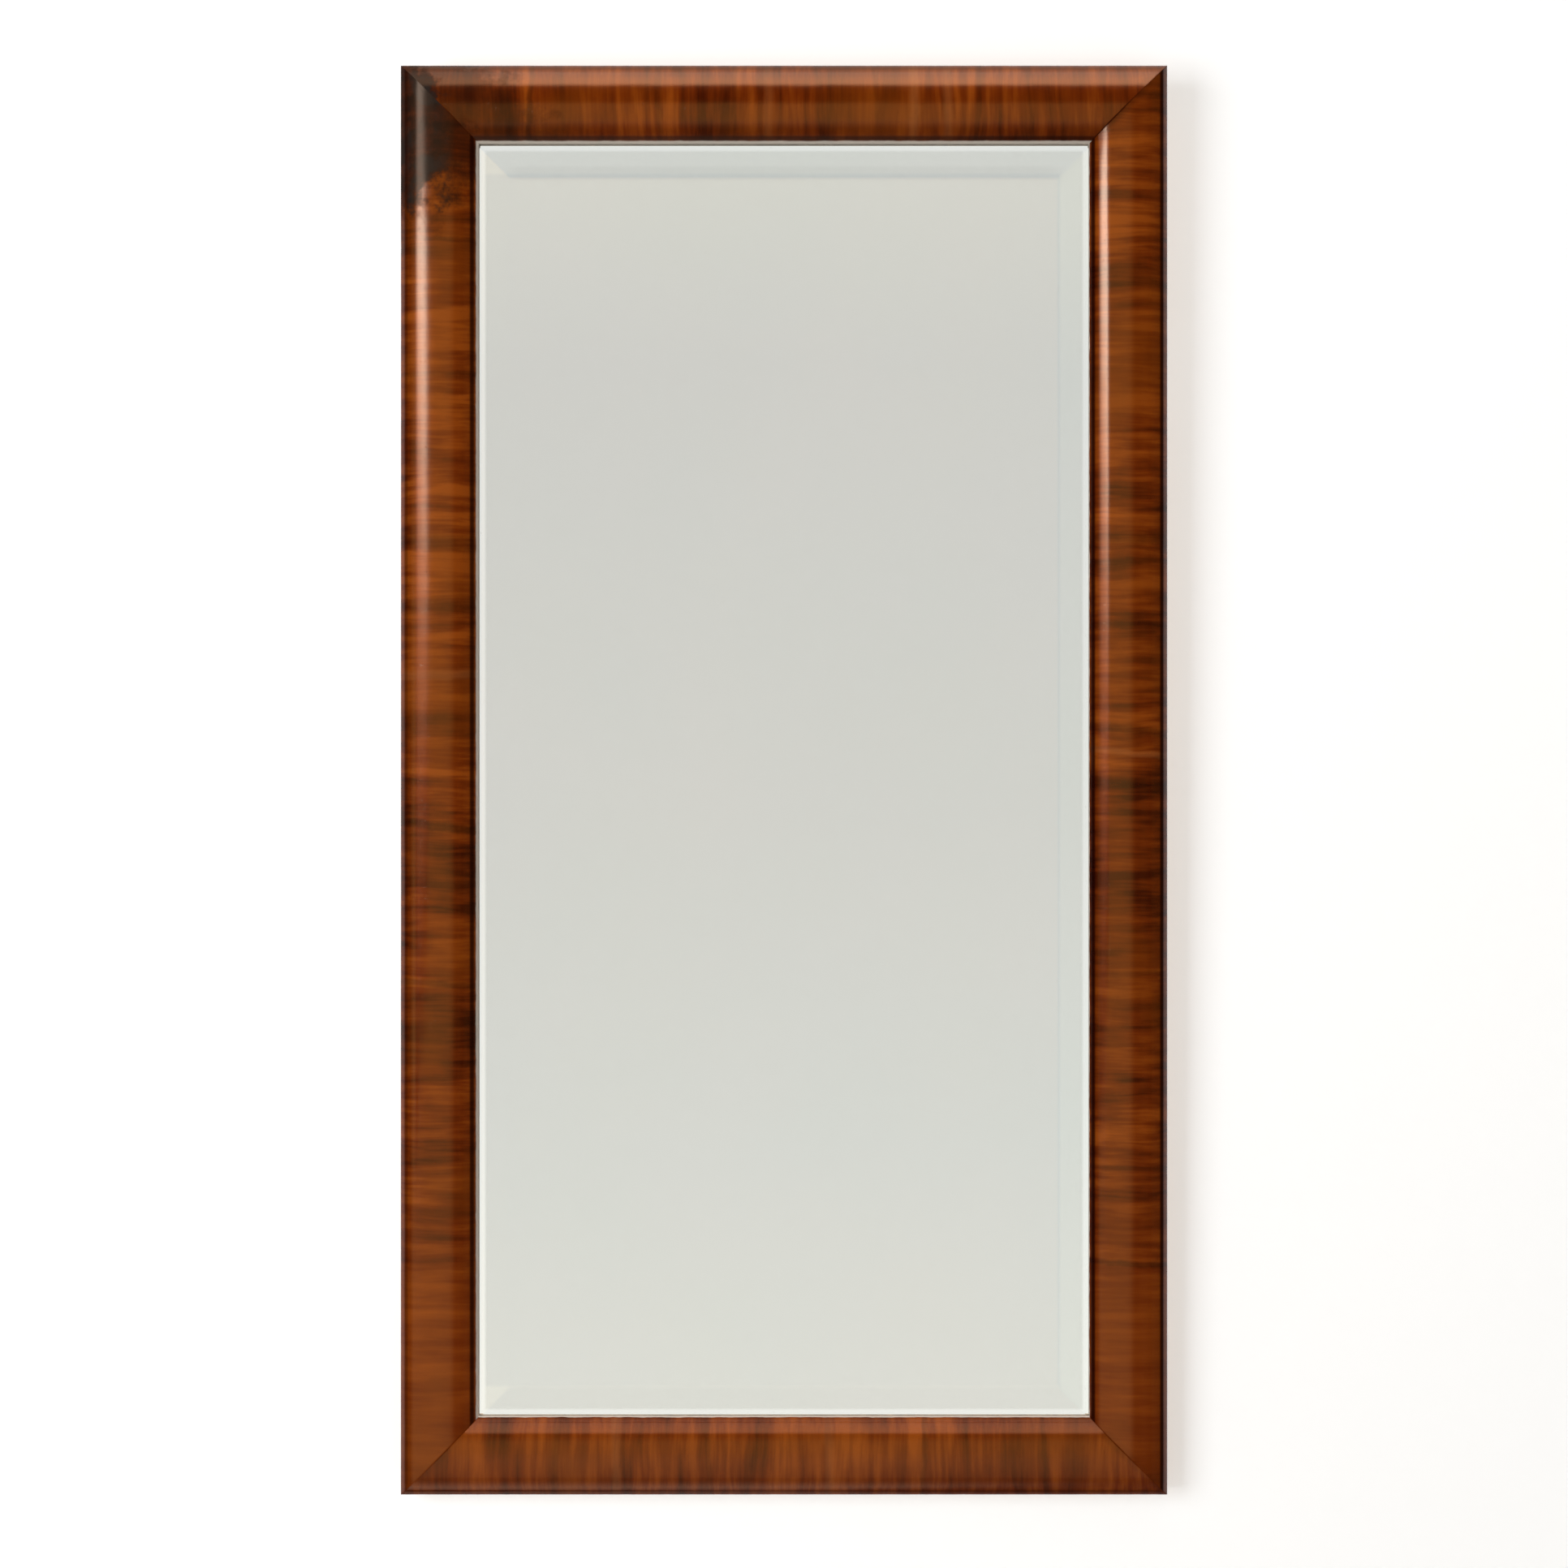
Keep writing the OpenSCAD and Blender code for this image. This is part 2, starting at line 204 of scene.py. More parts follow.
def woodGrainGroup():  # x of the vector runs along the grain, y across it on the face, z into the wood
    tree, given, result = startTree(
        "woodGrain", "ShaderNodeTree",
        {"Vector": (0.0, 0.0, 0.0), "Line Spacing": 0.004, "Broad Spacing": 0.05, "Length": 0.3,
         "Wave": 0.002, "Wave Length": 0.08, "Seed": 0.0},
        {"Fine": "NodeSocketFloat", "Broad": "NodeSocketFloat", "Pores": "NodeSocketFloat"})
    depthShare, poresAlong, poresAcross = 0.3, 30.0, 9.0
    parts = axes(given["Vector"])
    waves = noise(given["Vector"], share(1.0, given["Wave Length"]), 1.0, 0.4, given["Seed"])
    sway = times(minus(waves, 0.5), times(given["Wave"], 2.0))
    across = total(parts["Y"], sway)
    along = share(parts["X"], given["Length"])

    def lines(spacing, detail, step):
        depth = share(times(parts["Z"], depthShare), spacing)
        place = point(along, share(across, spacing), depth)
        return noise(place, 1.0, detail, 0.6, total(given["Seed"], step))

    fine = lines(given["Line Spacing"], 3.0, 1.0)
    broad = lines(given["Broad Spacing"], 2.0, 2.0)
    porePlace = point(times(along, poresAlong),
                      share(times(across, poresAcross), given["Line Spacing"]), parts["Z"])
    pores = noise(porePlace, 1.0, 2.0, 0.5, total(given["Seed"], 3.0))
    tree.links.new(spread(fine, 0.28, 0.72), result.inputs["Fine"])
    tree.links.new(spread(broad, 0.25, 0.75), result.inputs["Broad"])
    tree.links.new(spread(pores, 0.62, 0.72), result.inputs["Pores"])
    return tree


def agedSurfaceGroup():  # soft smears, small specks and the slow waves of a hand-finished surface
    tree, given, result = startTree(
        "agedSurface", "ShaderNodeTree",
        {"Vector": (0.0, 0.0, 0.0), "Smear Size": 0.04, "Speck Size": 0.004, "Speck Amount": 0.3,
         "Wave Size": 0.03, "Seed": 0.0},
        {"Smears": "NodeSocketFloat", "Specks": "NodeSocketFloat", "Waves": "NodeSocketFloat"})

    def blotches(size, detail, roughness, step):
        return noise(given["Vector"], share(1.0, given[size]), detail, roughness,
                     total(given["Seed"], step))

    smears = blotches("Smear Size", 4.0, 0.6, 0.0)
    specks = blotches("Speck Size", 3.0, 0.7, 5.0)
    edge = minus(0.78, times(given["Speck Amount"], 0.3))
    tree.links.new(spread(smears, 0.3, 0.7), result.inputs["Smears"])
    tree.links.new(spread(specks, edge, total(edge, 0.08)), result.inputs["Specks"])
    tree.links.new(blotches("Wave Size", 1.0, 0.4, 9.0), result.inputs["Waves"])
    return tree


softBand, woodGrain, agedSurface = softBandGroup(), woodGrainGroup(), agedSurfaceGroup()


def group(used, **values):  # speckSize stands for the group's input Speck Size, and so on
    labelled = {"".join(" " + c if c.isupper() else c for c in name).title(): value
                for name, value in values.items()}
    return put(treeOf(*values.values()), "ShaderNodeGroup", node_tree=used, values=labelled).outputs


def band(value, centre, halfWidth, softness):
    return group(softBand, value=value, centre=centre, halfWidth=halfWidth, softness=softness)["Mask"]


def startMaterial(name, shown):
    material = bpy.data.materials.new(name)
    material.use_nodes = True
    material.diffuse_color = (*shown, 1)
    place = put(material.node_tree, "ShaderNodeTexCoord").outputs["Object"]
    return material, material.node_tree.nodes["Principled BSDF"], place


def framePlace(place):  # x and z from the middle of the frame, y from its back
    return mapped(place, Location=(0, -frameBack, -midZ))


shaderSockets = {"colour": "Base Color", "roughness": "Roughness", "metallic": "Metallic", "ior": "IOR",
                 "specular": "Specular IOR Level", "transmission": "Transmission Weight",
                 "coat": "Coat Weight", "coatRoughness": "Coat Roughness", "coatNormal": "Coat Normal"}


def setShader(shader, **values):
    for name, value in values.items():
        socket = shader.inputs[shaderSockets[name]]
        if isinstance(value, bpy.types.NodeSocket):
            shader.id_data.links.new(value, socket)
        else:
            socket.default_value = value


def bumpSurface(shader, height, distance=1.0, strength=1.0):
    inputs = {"Height": height, "Distance": distance, "Strength": strength}
    normal = put(shader.id_data, "ShaderNodeBump", inputs).outputs[0]
    shader.id_data.links.new(normal, shader.inputs["Normal"])
    return normal


def deepened(colour):  # the dark of pores and streaks
    return tuple(0.35 * part for part in colour)


# Polished veneer of the cushion, laid with its grain across each member

veneerFinish = {
    "dark": (0.047, 0.0052, 0.0003), "middle": (0.148, 0.0212, 0.0010), "light": (0.270, 0.053, 0.0036),
    "yellower": (0.165, 0.033, 0.0016), "pale": (0.30, 0.095, 0.026), "dirtAndEdgeShade": (0.012, 0.0010, 0.0003),
    "stain": (0.020, 0.0068, 0.0028), "haze": (0.021, 0.018, 0.016), "worn": (0.72, 0.65, 0.56),
    "lineSpacing": 0.0085, "broadSpacing": 0.025, "grainLength": 0.11, "wave": 0.0030, "waveLength": 0.045,
    "broadShare": 0.42, "fineShare": 0.50, "smearShare": 0.18, "toneMiddle": 0.55, "poreTone": 0.12,
    "calmReach": (0.12, 0.27), "zoneInset": 0.02, "zoneSoftness": 0.05, "streakWobble": 0.005,
    "roughness": 0.42, "polishRoughness": 0.14, "waveHeight": 0.00016, "poreDepth": 0.00002,
    "ridgeHeight": 0.00001, "mitreLine": 0.0007, "mitreSmudge": 0.009, "rimHalf": 0.0007,
    "rimSoftness": 0.0017, "dullEdge": (-0.004, 0.003), "wornAndHighlitShare": 0.9, "drift": (0.45, 0.7),
    "driftShare": 0.45, "mattedSpecks": 0.15, "dirtySpecks": 0.2, "mitreFade": (0.008, 0.040, 0.45, 1.0),
    "smudgeShare": 0.7, "rimDulling": 0.6, "unevenness": 0.0024, "wornAndHighlitUneven": 0.4, "grimeRough": 0.2,
    "smearRough": 0.1,
}
# The old dark repair round the top left corner, with its polish dulled. Each pair is where a soft edge of it
# starts and ends. The haze band is a middle, a half width and a softness, and thinned also has two amounts.
# The haze is a greyish bloom of old polish and partly a painted dull highlight on the crown.
repairFinish = {"ragged": 0.13, "pivot": 0.025, "stained": (-0.018, 0.014), "dulled": (-0.028, 0.012),
                "dullness": 0.78, "faintness": 0.52, "faintSoftness": 0.012, "bloomAndDullHighlight": (-0.006, 0.020),
                "hazeBand": (0.020, 0.006, 0.018), "thinned": (0.028, 0.052, 1.0, 0.70)}
# Places are in metres along the member from its left or lower end, or in from its outer edge. Streaks are
# place along it, half width, strength (below 0 is pale) and slope. Zones are start, end and tone. Repair is
# where it ends, on which side of that it lies, its slant, and how far it goes on faintly. Edge shade lines
# are place and strength of dark lines of painted shade along the outer and the sight edge. Worn is the width
# of the pale sight edge, partly wear and partly a painted highlight. Mitres are how dark the joints at the
# two ends are. Figure is how strong the stripes are, and calm is the share of that near the first end. Dulled
# is where the polish fades towards the glass, and by how much.
members = {
    "left": {
        "across": ("X", 1), "along": "Z", "length": frameHeight, "seed": 3.0, "figure": 1.2, "calm": 0.40,
        "streaks": [(0.5185, 0.0030, 0.75, -0.13), (0.861, 0.0016, 0.4, 0.03), (0.734, 0.005, 0.5, -0.05),
                    (0.683, 0.005, 0.45, 0.0), (0.395, 0.0022, 0.5, -0.06), (0.357, 0.007, 0.4, 0.05),
                    (0.966, 0.0018, 0.5, -0.02), (0.596, 0.004, 0.3, 0.04), (0.630, 0.003, -0.25, 0.03)],
        "zones": [(0.04, 0.16, 0.13), (0.16, 0.31, 0.055), (0.33, 0.43, -0.03), (0.43, 0.60, -0.08),
                  (0.60, 0.92, 0.055)],
        "repair": {"edge": 0.9965, "way": 1.0, "skew": 0.38, "faintReach": 0.0},
        "rims": [(0.0044, 0.45), (0.0048, 0.85)], "worn": 0.0029, "mitres": (0.30, 0.1), "dulled": None},
    "right": {
        "across": ("X", -1), "along": "Z", "length": frameHeight, "seed": 11.0, "figure": 1.15, "calm": 0.40,
        "streaks": [(0.735, 0.004, 0.5, 0.03), (0.719, 0.0022, 0.45, -0.04), (0.669, 0.003, 0.3, 0.0),
                    (0.545, 0.005, 0.6, 0.07), (0.585, 0.003, 0.5, 0.12), (0.568, 0.002, -0.3, 0.10),
                    (0.402, 0.002, 0.35, -0.03), (0.93, 0.002, 0.35, 0.02), (0.178, 0.002, 0.6, 0.04),
                    (0.251, 0.0016, 0.35, 0.04)],
        "zones": [(0.04, 0.21, 0.14), (0.21, 0.32, 0.03), (0.34, 0.43, -0.07), (0.43, 0.56, -0.15),
                  (0.60, 0.74, 0.03)],
        "repair": None, "rims": [(0.0046, 0.9), (0.0026, 0.9)], "worn": 0.0006, "mitres": (0.40, 0.9),
        "dulled": None},
    "top": {
        "across": ("Z", -1), "along": "X", "length": frameWidth, "seed": 23.0, "figure": 1.04, "calm": 1.0,
        "streaks": [(0.079, 0.003, 0.6, 0.1), (0.102, 0.002, 0.5, -0.05), (0.198, 0.002, 0.4, 0.04),
                    (0.257, 0.002, 0.4, 0.0), (0.445, 0.002, 0.45, -0.04), (0.365, 0.002, 0.3, 0.05),
                    (0.395, 0.003, -0.3, 0.0), (0.42, 0.003, -0.25, 0.02), (0.283, 0.003, -0.2, 0.0)],
        "zones": [(0.0, 0.10, -0.12), (0.14, 0.20, -0.07), (0.27, 0.33, -0.06), (0.45, 0.54, -0.08)],
        "repair": {"edge": 0.029, "way": -1.0, "skew": 0.95, "faintReach": 0.062},
        "rims": [(0.0024, 0.4), (0.0034, 0.7)], "worn": 0.0026, "mitres": (0.0, 0.9), "dulled": (0.047, 0.7)},
    "bottom": {
        "across": ("Z", 1), "along": "X", "length": frameWidth, "seed": 31.0, "figure": 0.93, "calm": 1.0,
        "streaks": [(0.118, 0.0024, 0.45, 0.05), (0.166, 0.003, -0.25, 0.0), (0.238, 0.002, 0.35, -0.04),
                    (0.402, 0.002, 0.4, 0.02), (0.497, 0.0018, 0.4, -0.06), (0.330, 0.003, -0.2, 0.0)],
        "zones": [(0.25, 0.42, 0.05), (0.02, 0.09, -0.06), (0.45, 0.54, 0.06)],
        "repair": None, "rims": [(0.0030, 0.45), (0.0030, 0.0)], "worn": 0.0009, "mitres": (0.30, 0.55),
        "dulled": (0.0445, 0.58)},
}


def memberPlaces(place, member):  # how far in from the outer edge, along the member and into the wall
    parts = axes(framePlace(place))
    reach = {"X": frameWidth / 2, "Z": frameHeight / 2}
    acrossAxis, sign = member["across"]
    across = scaled(parts[acrossAxis], float(sign), reach[acrossAxis])
    return across, total(parts[member["along"]], reach[member["along"]]), parts["Y"]


def veneerTone(member, along, grain, aged):
    v = veneerFinish
    tone = total(times(grain["Broad"], v["broadShare"]), times(grain["Fine"], v["fineShare"]),
                 times(aged["Smears"], v["smearShare"]), -v["toneMiddle"])
    figure = spread(along, *v["calmReach"], member["figure"] * member["calm"], member["figure"])
    tone = scaled(tone, figure, 0.5)
    for low, high, amount in member["zones"]:
        mask = band(along, (low + high) / 2, (high - low) / 2 - v["zoneInset"], v["zoneSoftness"])
        tone = scaled(mask, amount, tone)
    return tone


def veneerStreaks(member, across, along, laid):  # masks of the dark and of the pale lines
    wobble, seed = veneerFinish["streakWobble"], member["seed"]
    bent = scaled(noise(laid, 60.0, 2.0, 0.5, seed), wobble, -wobble / 2)
    broken = scaled(noise(laid, 75.0, 2.0, 0.6, seed + 4), 1.1, 0.35, clamp=True)
    dark, pale = 0.0, 0.0
    for where, halfWidth, strength, slope in member["streaks"]:
        line = total(along, bent, times(across, -slope))
        mask = times(band(line, where, halfWidth * 0.4, halfWidth * 1.4), abs(strength))
        if strength > 0:
            dark = most(dark, times(mask, broken))
        else:
            pale = most(pale, mask)
    return dark, pale


def veneerColour(member, across, along, laid, grain, aged):
    v = veneerFinish
    tone = veneerTone(member, along, grain, aged)
    colour = toneRamp(tone, [(0.12, v["dark"]), (0.5, v["middle"]), (0.85, v["light"])])
    drifts = spread(noise(laid, 14.0, 2.0, 0.5, member["seed"] + 7), *v["drift"])
    colour = blendColour(times(drifts, v["driftShare"]), colour, v["yellower"])
    dark, pale = veneerStreaks(member, across, along, laid)
    colour = blendColour(pale, colour, v["pale"])
    dark = most(times(grain["Pores"], v["poreTone"]), dark)
    return blendColour(dark, colour, deepened(v["dark"]))


# Masks of the repair: its stain, its haze (bloom of old polish, partly a painted dull highlight) and its
# dulled polish
def cornerRepair(repair, across, along, laid, smears):
    v, skew = repairFinish, repair["skew"]
    ragged = scaled(noise(laid, 38.0, 4.0, 0.7, 7.0), v["ragged"], -v["ragged"] / 2)
    shape = total(along, ragged, scaled(across, -skew, skew * v["pivot"]))
    shape = times(minus(shape, repair["edge"]), repair["way"])
    stained, dulled = spread(shape, *v["stained"]), spread(shape, *v["dulled"])
    if repair["faintReach"]:  # it goes on more faintly along the rail
        start, soft = -repair["faintReach"], v["faintSoftness"]
        faint = times(spread(shape, start - soft, start + soft), v["faintness"])
        stained, dulled = most(stained, faint), most(dulled, faint)
    blotched = scaled(noise(laid, 70.0, 4.0, 0.7, 3.0), -1.6, 1.65, clamp=True)
    thinned = times(blotched, spread(across, *v["thinned"]))
    # Greyish haze on the crown: bloom of old polish, partly a painted dull highlight
    bloomAndDullHighlight = times(band(across, *v["hazeBand"]), spread(shape, *v["bloomAndDullHighlight"]),
                  spread(smears, 0.35, 0.60, 0.35, 0.85))
    return times(stained, thinned), bloomAndDullHighlight, times(dulled, v["dullness"])


# Masks of the dirt in the mitres and of the painted shade lines along both edges, and of what they dull
def veneerDirtAndEdgeShade(member, across, along, uneven, aged):
    v = veneerFinish
    dirtAndEdgeShade, matted = times(aged["Specks"], v["dirtySpecks"]), 0.0
    fading = spread(across, *v["mitreFade"])
    for start, strength in zip((along, minus(member["length"], along)), member["mitres"]):
        beside = minus(start, across)
        mask = times(spread(beside, total(uneven, v["mitreLine"]), 0.0), fading)
        smeared = times(aged["Smears"], v["smudgeShare"])
        smudge = times(spread(beside, v["mitreSmudge"], 0.0), smeared)
        dirtAndEdgeShade = most(dirtAndEdgeShade, times(most(mask, smudge), strength))
        matted = most(matted, mask)
    # Dark lines along the outer and the sight edge: painted shade, not dirt
    for start, (where, strength) in zip((across, minus(mouldingWidth, across)), member["rims"]):
        mask = times(band(start, where, v["rimHalf"], v["rimSoftness"]), strength)
        dirtAndEdgeShade = most(dirtAndEdgeShade, mask)
        matted = most(matted, times(mask, v["rimDulling"]))
    return dirtAndEdgeShade, matted


def faceVeneerMaterial(side):
    v, member = veneerFinish, members[side]
    material, shader, place = startMaterial("polishedVeneer." + side, v["middle"])
    across, along, depth = memberPlaces(place, member)
    laid = point(across, along, depth)
    grain = group(woodGrain, vector=laid, lineSpacing=v["lineSpacing"], broadSpacing=v["broadSpacing"],
                  length=v["grainLength"], wave=v["wave"], waveLength=v["waveLength"], seed=member["seed"])
    aged = group(agedSurface, vector=laid, smearSize=0.05, speckSize=0.003, speckAmount=0.35,
                 waveSize=0.026, seed=member["seed"])
    colour = veneerColour(member, across, along, laid, grain, aged)
    matted = times(aged["Specks"], v["mattedSpecks"])
    if member["repair"]:
        stained, bloomAndDullHighlight, dulled = cornerRepair(member["repair"], across, along, laid, aged["Smears"])
        colour = blendColour(stained, colour, v["stain"])
        # The haze colour is partly bloom and partly a painted dull highlight
        colour = blendColour(bloomAndDullHighlight, colour, v["haze"])
        matted = most(matted, dulled)
    uneven = scaled(noise(laid, 90.0, 2.0, 0.6, 2.0), v["unevenness"], -v["unevenness"] / 6)
    dirtAndEdgeShade, dirty = veneerDirtAndEdgeShade(member, across, along, uneven, aged)
    matted = most(matted, dirty)
    if member["dulled"]:
        start, amount = member["dulled"]
        before, beyond = v["dullEdge"]
        matted = most(matted, times(spread(across, start + before, start + beyond), amount))
    # Dirt specks and dark mitre joints, together with the painted shade lines along both edges
    colour = blendColour(dirtAndEdgeShade, colour, v["dirtAndEdgeShade"])
    # A pale strip along the sight edge: partly polish and colour worn away, partly a painted highlight.
    fromSight, wornAndHighlitWidth = minus(mouldingWidth, across), member["worn"]
    fromSight = total(fromSight, times(uneven, v["wornAndHighlitUneven"]))
    wornAndHighlitEdge = spread(fromSight, wornAndHighlitWidth, wornAndHighlitWidth * 0.5)
    colour = blendColour(times(wornAndHighlitEdge, v["wornAndHighlitShare"]), colour, v["worn"])
    matted = most(matted, wornAndHighlitEdge)
    rough = total(v["roughness"], times(dirtAndEdgeShade, v["grimeRough"]), times(aged["Smears"], v["smearRough"]))
    height = total(times(aged["Waves"], v["waveHeight"]),
                   times(grain["Pores"], -v["poreDepth"]), times(grain["Fine"], v["ridgeHeight"]))
    setShader(shader, colour=colour, roughness=rough, ior=1.5, specular=0.0, coat=minus(1.0, matted),
              coatRoughness=v["polishRoughness"], coatNormal=bumpSurface(shader, height))
    return material


# Plain woods: pine core and boards, hardwood keys, edge veneers

plainWoods = {
    "corePine": {
        "along": "Z", "dark": (0.23, 0.105, 0.036), "middle": (0.40, 0.218, 0.084),
        "light": (0.54, 0.325, 0.14), "lineSpacing": 0.006, "broadSpacing": 0.03, "length": 0.5,
        "roughness": 0.62, "coat": 0.0, "lipPaintedHighlight": (0.74, 0.67, 0.58), "dust": 0.3, "seed": 4.0},
    "corePineRail": {"copy": "corePine", "along": "X", "seed": 8.0},
    "boardPine": {
        "along": "Z", "dark": (0.175, 0.075, 0.025), "middle": (0.33, 0.175, 0.067),
        "light": (0.46, 0.285, 0.128), "lineSpacing": 0.011, "broadSpacing": 0.05, "length": 0.9,
        "roughness": 0.7, "coat": 0.0, "boards": boardCount, "dust": 0.35, "seed": 15.0},
    "wedgePine": {"copy": "corePine", "lipPaintedHighlight": None, "lineSpacing": 0.003, "seed": 19.0},
    "keyHardwood": {
        "copy": "corePine", "along": "X", "lipPaintedHighlight": None, "dark": (0.16, 0.07, 0.028),
        "middle": (0.25, 0.125, 0.055), "light": (0.33, 0.18, 0.085), "lineSpacing": 0.003, "seed": 27.0},
    "edgeVeneerStile": {
        "along": "Z", "dark": (0.030, 0.008, 0.002), "middle": (0.085, 0.023, 0.005),
        "light": (0.15, 0.046, 0.010), "lineSpacing": 0.0032, "broadSpacing": 0.014, "length": 0.35,
        "roughness": 0.42, "coat": 0.7, "wornEdges": (0.20, 0.09, 0.035), "dust": 0.25, "seed": 34.0},
    "edgeVeneerRail": {"copy": "edgeVeneerStile", "along": "X", "seed": 41.0},
}
woodDetail = {  # what the plain woods share; each pair is where a soft edge starts and ends
    "wave": 0.003, "waveLength": 0.2, "fineShare": 0.55, "broadShare": 0.30, "smearShare": 0.15,
    "poreTone": 0.25, "dirt": (0.075, 0.043, 0.021), "ridgeHeight": 0.00006, "poreDepth": 0.00008,
    "waveHeight": 0.0002, "boardShift": 0.37, "boardTone": 0.11, "joint": (0.045, 0.022, 0.010),
    "jointEdge": (0.016, 0.003), "knot": (0.075, 0.032, 0.014), "knotShape": (1.0, 0.2, 0.55),
    "knotEdge": (0.085, 0.055), "knotRings": 260.0, "lipDepth": (-0.0135, -0.0142),
    "lipWidth": (0.0085, 0.0065), "wearWidth": (0.0052, 0.0022), "wearAmount": 0.55, "wearUneven": 0.004,
    "knotScale": 8.0, "knotTone": (0.15, 0.6), "jointAmount": 0.75, "slant": 0.7, "boardWave": (2.2, 0.5),
    "speckDirt": 0.6, "dustEdge": (0.55, 1.0), "dustShare": 0.7, "smearRough": 0.14, "coatRoughness": 0.2,
}


def knotMask(centred):  # long dark spots with rings in them
    d = woodDetail
    spots = cells(stretched(centred, d["knotShape"]), d["knotScale"])
    ringed = calc("SINE", times(spots, d["knotRings"]))
    return times(spread(spots, *d["knotEdge"]), scaled(ringed, *d["knotTone"]))


def lipMask(parts):  # the lip's inner side and its underside, painted pale as a painted highlight
    insideX = minus(unsigned(parts["X"]), sightX)
    insideZ = minus(unsigned(parts["Z"]), sightZ)
    lip = spread(most(insideX, insideZ), *woodDetail["lipWidth"])
    return times(lip, spread(parts["Y"], *woodDetail["lipDepth"]))


def cornerWear(parts, smears):  # along the frame's outer corners
    outX = minus(frameWidth / 2, unsigned(parts["X"]))
    outZ = minus(frameHeight / 2, unsigned(parts["Z"]))
    corner = total(most(outX, outZ), times(smears, woodDetail["wearUneven"]))
    return times(spread(corner, *woodDetail["wearWidth"]), woodDetail["wearAmount"])


def plainWoodMaterial(name):
    v, d = plainWoods[name], woodDetail
    v = {**plainWoods[v["copy"]], **v} if "copy" in v else v
    material, shader, place = startMaterial(name, v["middle"])
    centred = framePlace(place)
    parts = axes(centred)
    run, side = ("Z", "X") if v["along"] == "Z" else ("X", "Z")
    across = parts[side]
    if "boards" in v:  # each board has a figure and a tone of its own
        boardPlace = scaled(across, 1 / boardPitch, v["boards"] / 2)
        board = calc("FLOOR", boardPlace)
        across = scaled(board, d["boardShift"], across)
    slanted = total(across, times(parts["Y"], d["slant"]))
    laid = point(parts[run], slanted, parts["Y"])
    grain = group(woodGrain, vector=laid, lineSpacing=v["lineSpacing"], broadSpacing=v["broadSpacing"],
                  length=v["length"], wave=d["wave"], waveLength=d["waveLength"], seed=v["seed"])
    aged = group(agedSurface, vector=centred, smearSize=0.07, speckSize=0.004, speckAmount=v["dust"],
                 waveSize=0.05, seed=v["seed"])
    tone = total(times(grain["Fine"], d["fineShare"]),
                 times(grain["Broad"], d["broadShare"]), times(aged["Smears"], d["smearShare"]))
    if "boards" in v:
        tone = scaled(calc("SINE", scaled(board, *d["boardWave"])), d["boardTone"], tone)
    colour = toneRamp(tone, [(0.1, v["dark"]), (0.5, v["middle"]), (0.9, v["light"])])
    if "boards" in v:
        colour = blendColour(knotMask(centred), colour, d["knot"])
    pores = times(grain["Pores"], d["poreTone"])
    colour = blendColour(pores, colour, deepened(v["dark"]))
    # The lip is painted pale: a painted highlight along the sight edge
    if v.get("lipPaintedHighlight"):
        colour = blendColour(lipMask(parts), colour, v["lipPaintedHighlight"])
    dust = times(spread(aged["Smears"], *d["dustEdge"]), v["dust"] * d["dustShare"])
    dirt = most(times(aged["Specks"], d["speckDirt"]), dust)
    colour = blendColour(dirt, colour, d["dirt"])
    if "wornEdges" in v:
        colour = blendColour(cornerWear(parts, aged["Smears"]), colour, v["wornEdges"])
    if "boards" in v:  # dust and shadow where the boards meet
        joint = unsigned(minus(boardPlace, calc("ROUND", boardPlace)))
        joint = times(spread(joint, *d["jointEdge"]), d["jointAmount"])
        colour = blendColour(joint, colour, d["joint"])
    rough = scaled(aged["Smears"], d["smearRough"], v["roughness"])
    setShader(shader, colour=colour, roughness=rough, ior=1.5, coat=v["coat"],
              coatRoughness=d["coatRoughness"])
    height = total(times(grain["Fine"], d["ridgeHeight"]),
                   times(grain["Pores"], -d["poreDepth"]), times(aged["Waves"], d["waveHeight"]))
    bumpSurface(shader, height, strength=0.8)
    return material


# Metals, rubber, cork, glass and silver

metalFinish = {
    "agedBrass": {
        "colour": (0.46, 0.30, 0.11), "tarnish": (0.13, 0.075, 0.03), "roughness": 0.34, "amount": 0.65},
    "strapSteel": {
        "colour": (0.50, 0.48, 0.44), "tarnish": (0.17, 0.11, 0.07), "roughness": 0.38, "amount": 0.5},
    "ringSteel": {
        "colour": (0.55, 0.53, 0.50), "tarnish": (0.20, 0.14, 0.10), "roughness": 0.30, "amount": 0.35},
    "screwSteel": {
        "colour": (0.46, 0.44, 0.41), "tarnish": (0.14, 0.09, 0.06), "roughness": 0.40, "amount": 0.6},
}
metalDetail = {"turn": (0.3, 0.2, 0.5), "scratchScale": (1800.0, 1800.0, 160.0), "dullEdge": (0.45, 0.95),
               "wornRough": 0.3, "scratchRough": 0.1, "scratchHeight": 0.00001, "wornHeight": 0.00003}


def metalMaterial(name):
    v, d = metalFinish[name], metalDetail
    material, shader, place = startMaterial(name, v["colour"])
    turned = mapped(place, Rotation=d["turn"])
    aged = group(agedSurface, vector=turned, smearSize=0.009, speckSize=0.0015, speckAmount=v["amount"],
                 waveSize=0.004, seed=len(name) * 1.7)
    scratches = noise(stretched(turned, d["scratchScale"]), 1.0, 2.0, 0.6, 3.0)
    dulled = times(spread(aged["Smears"], *d["dullEdge"]), v["amount"])
    worn = most(aged["Specks"], dulled)
    rough = total(v["roughness"], times(worn, d["wornRough"]), times(scratches, d["scratchRough"]))
    colour = blendColour(worn, v["colour"], v["tarnish"])
    setShader(shader, colour=colour, metallic=1.0, roughness=rough)
    height = total(times(scratches, d["scratchHeight"]), times(worn, d["wornHeight"]))
    bumpSurface(shader, height, strength=0.7)
    return material


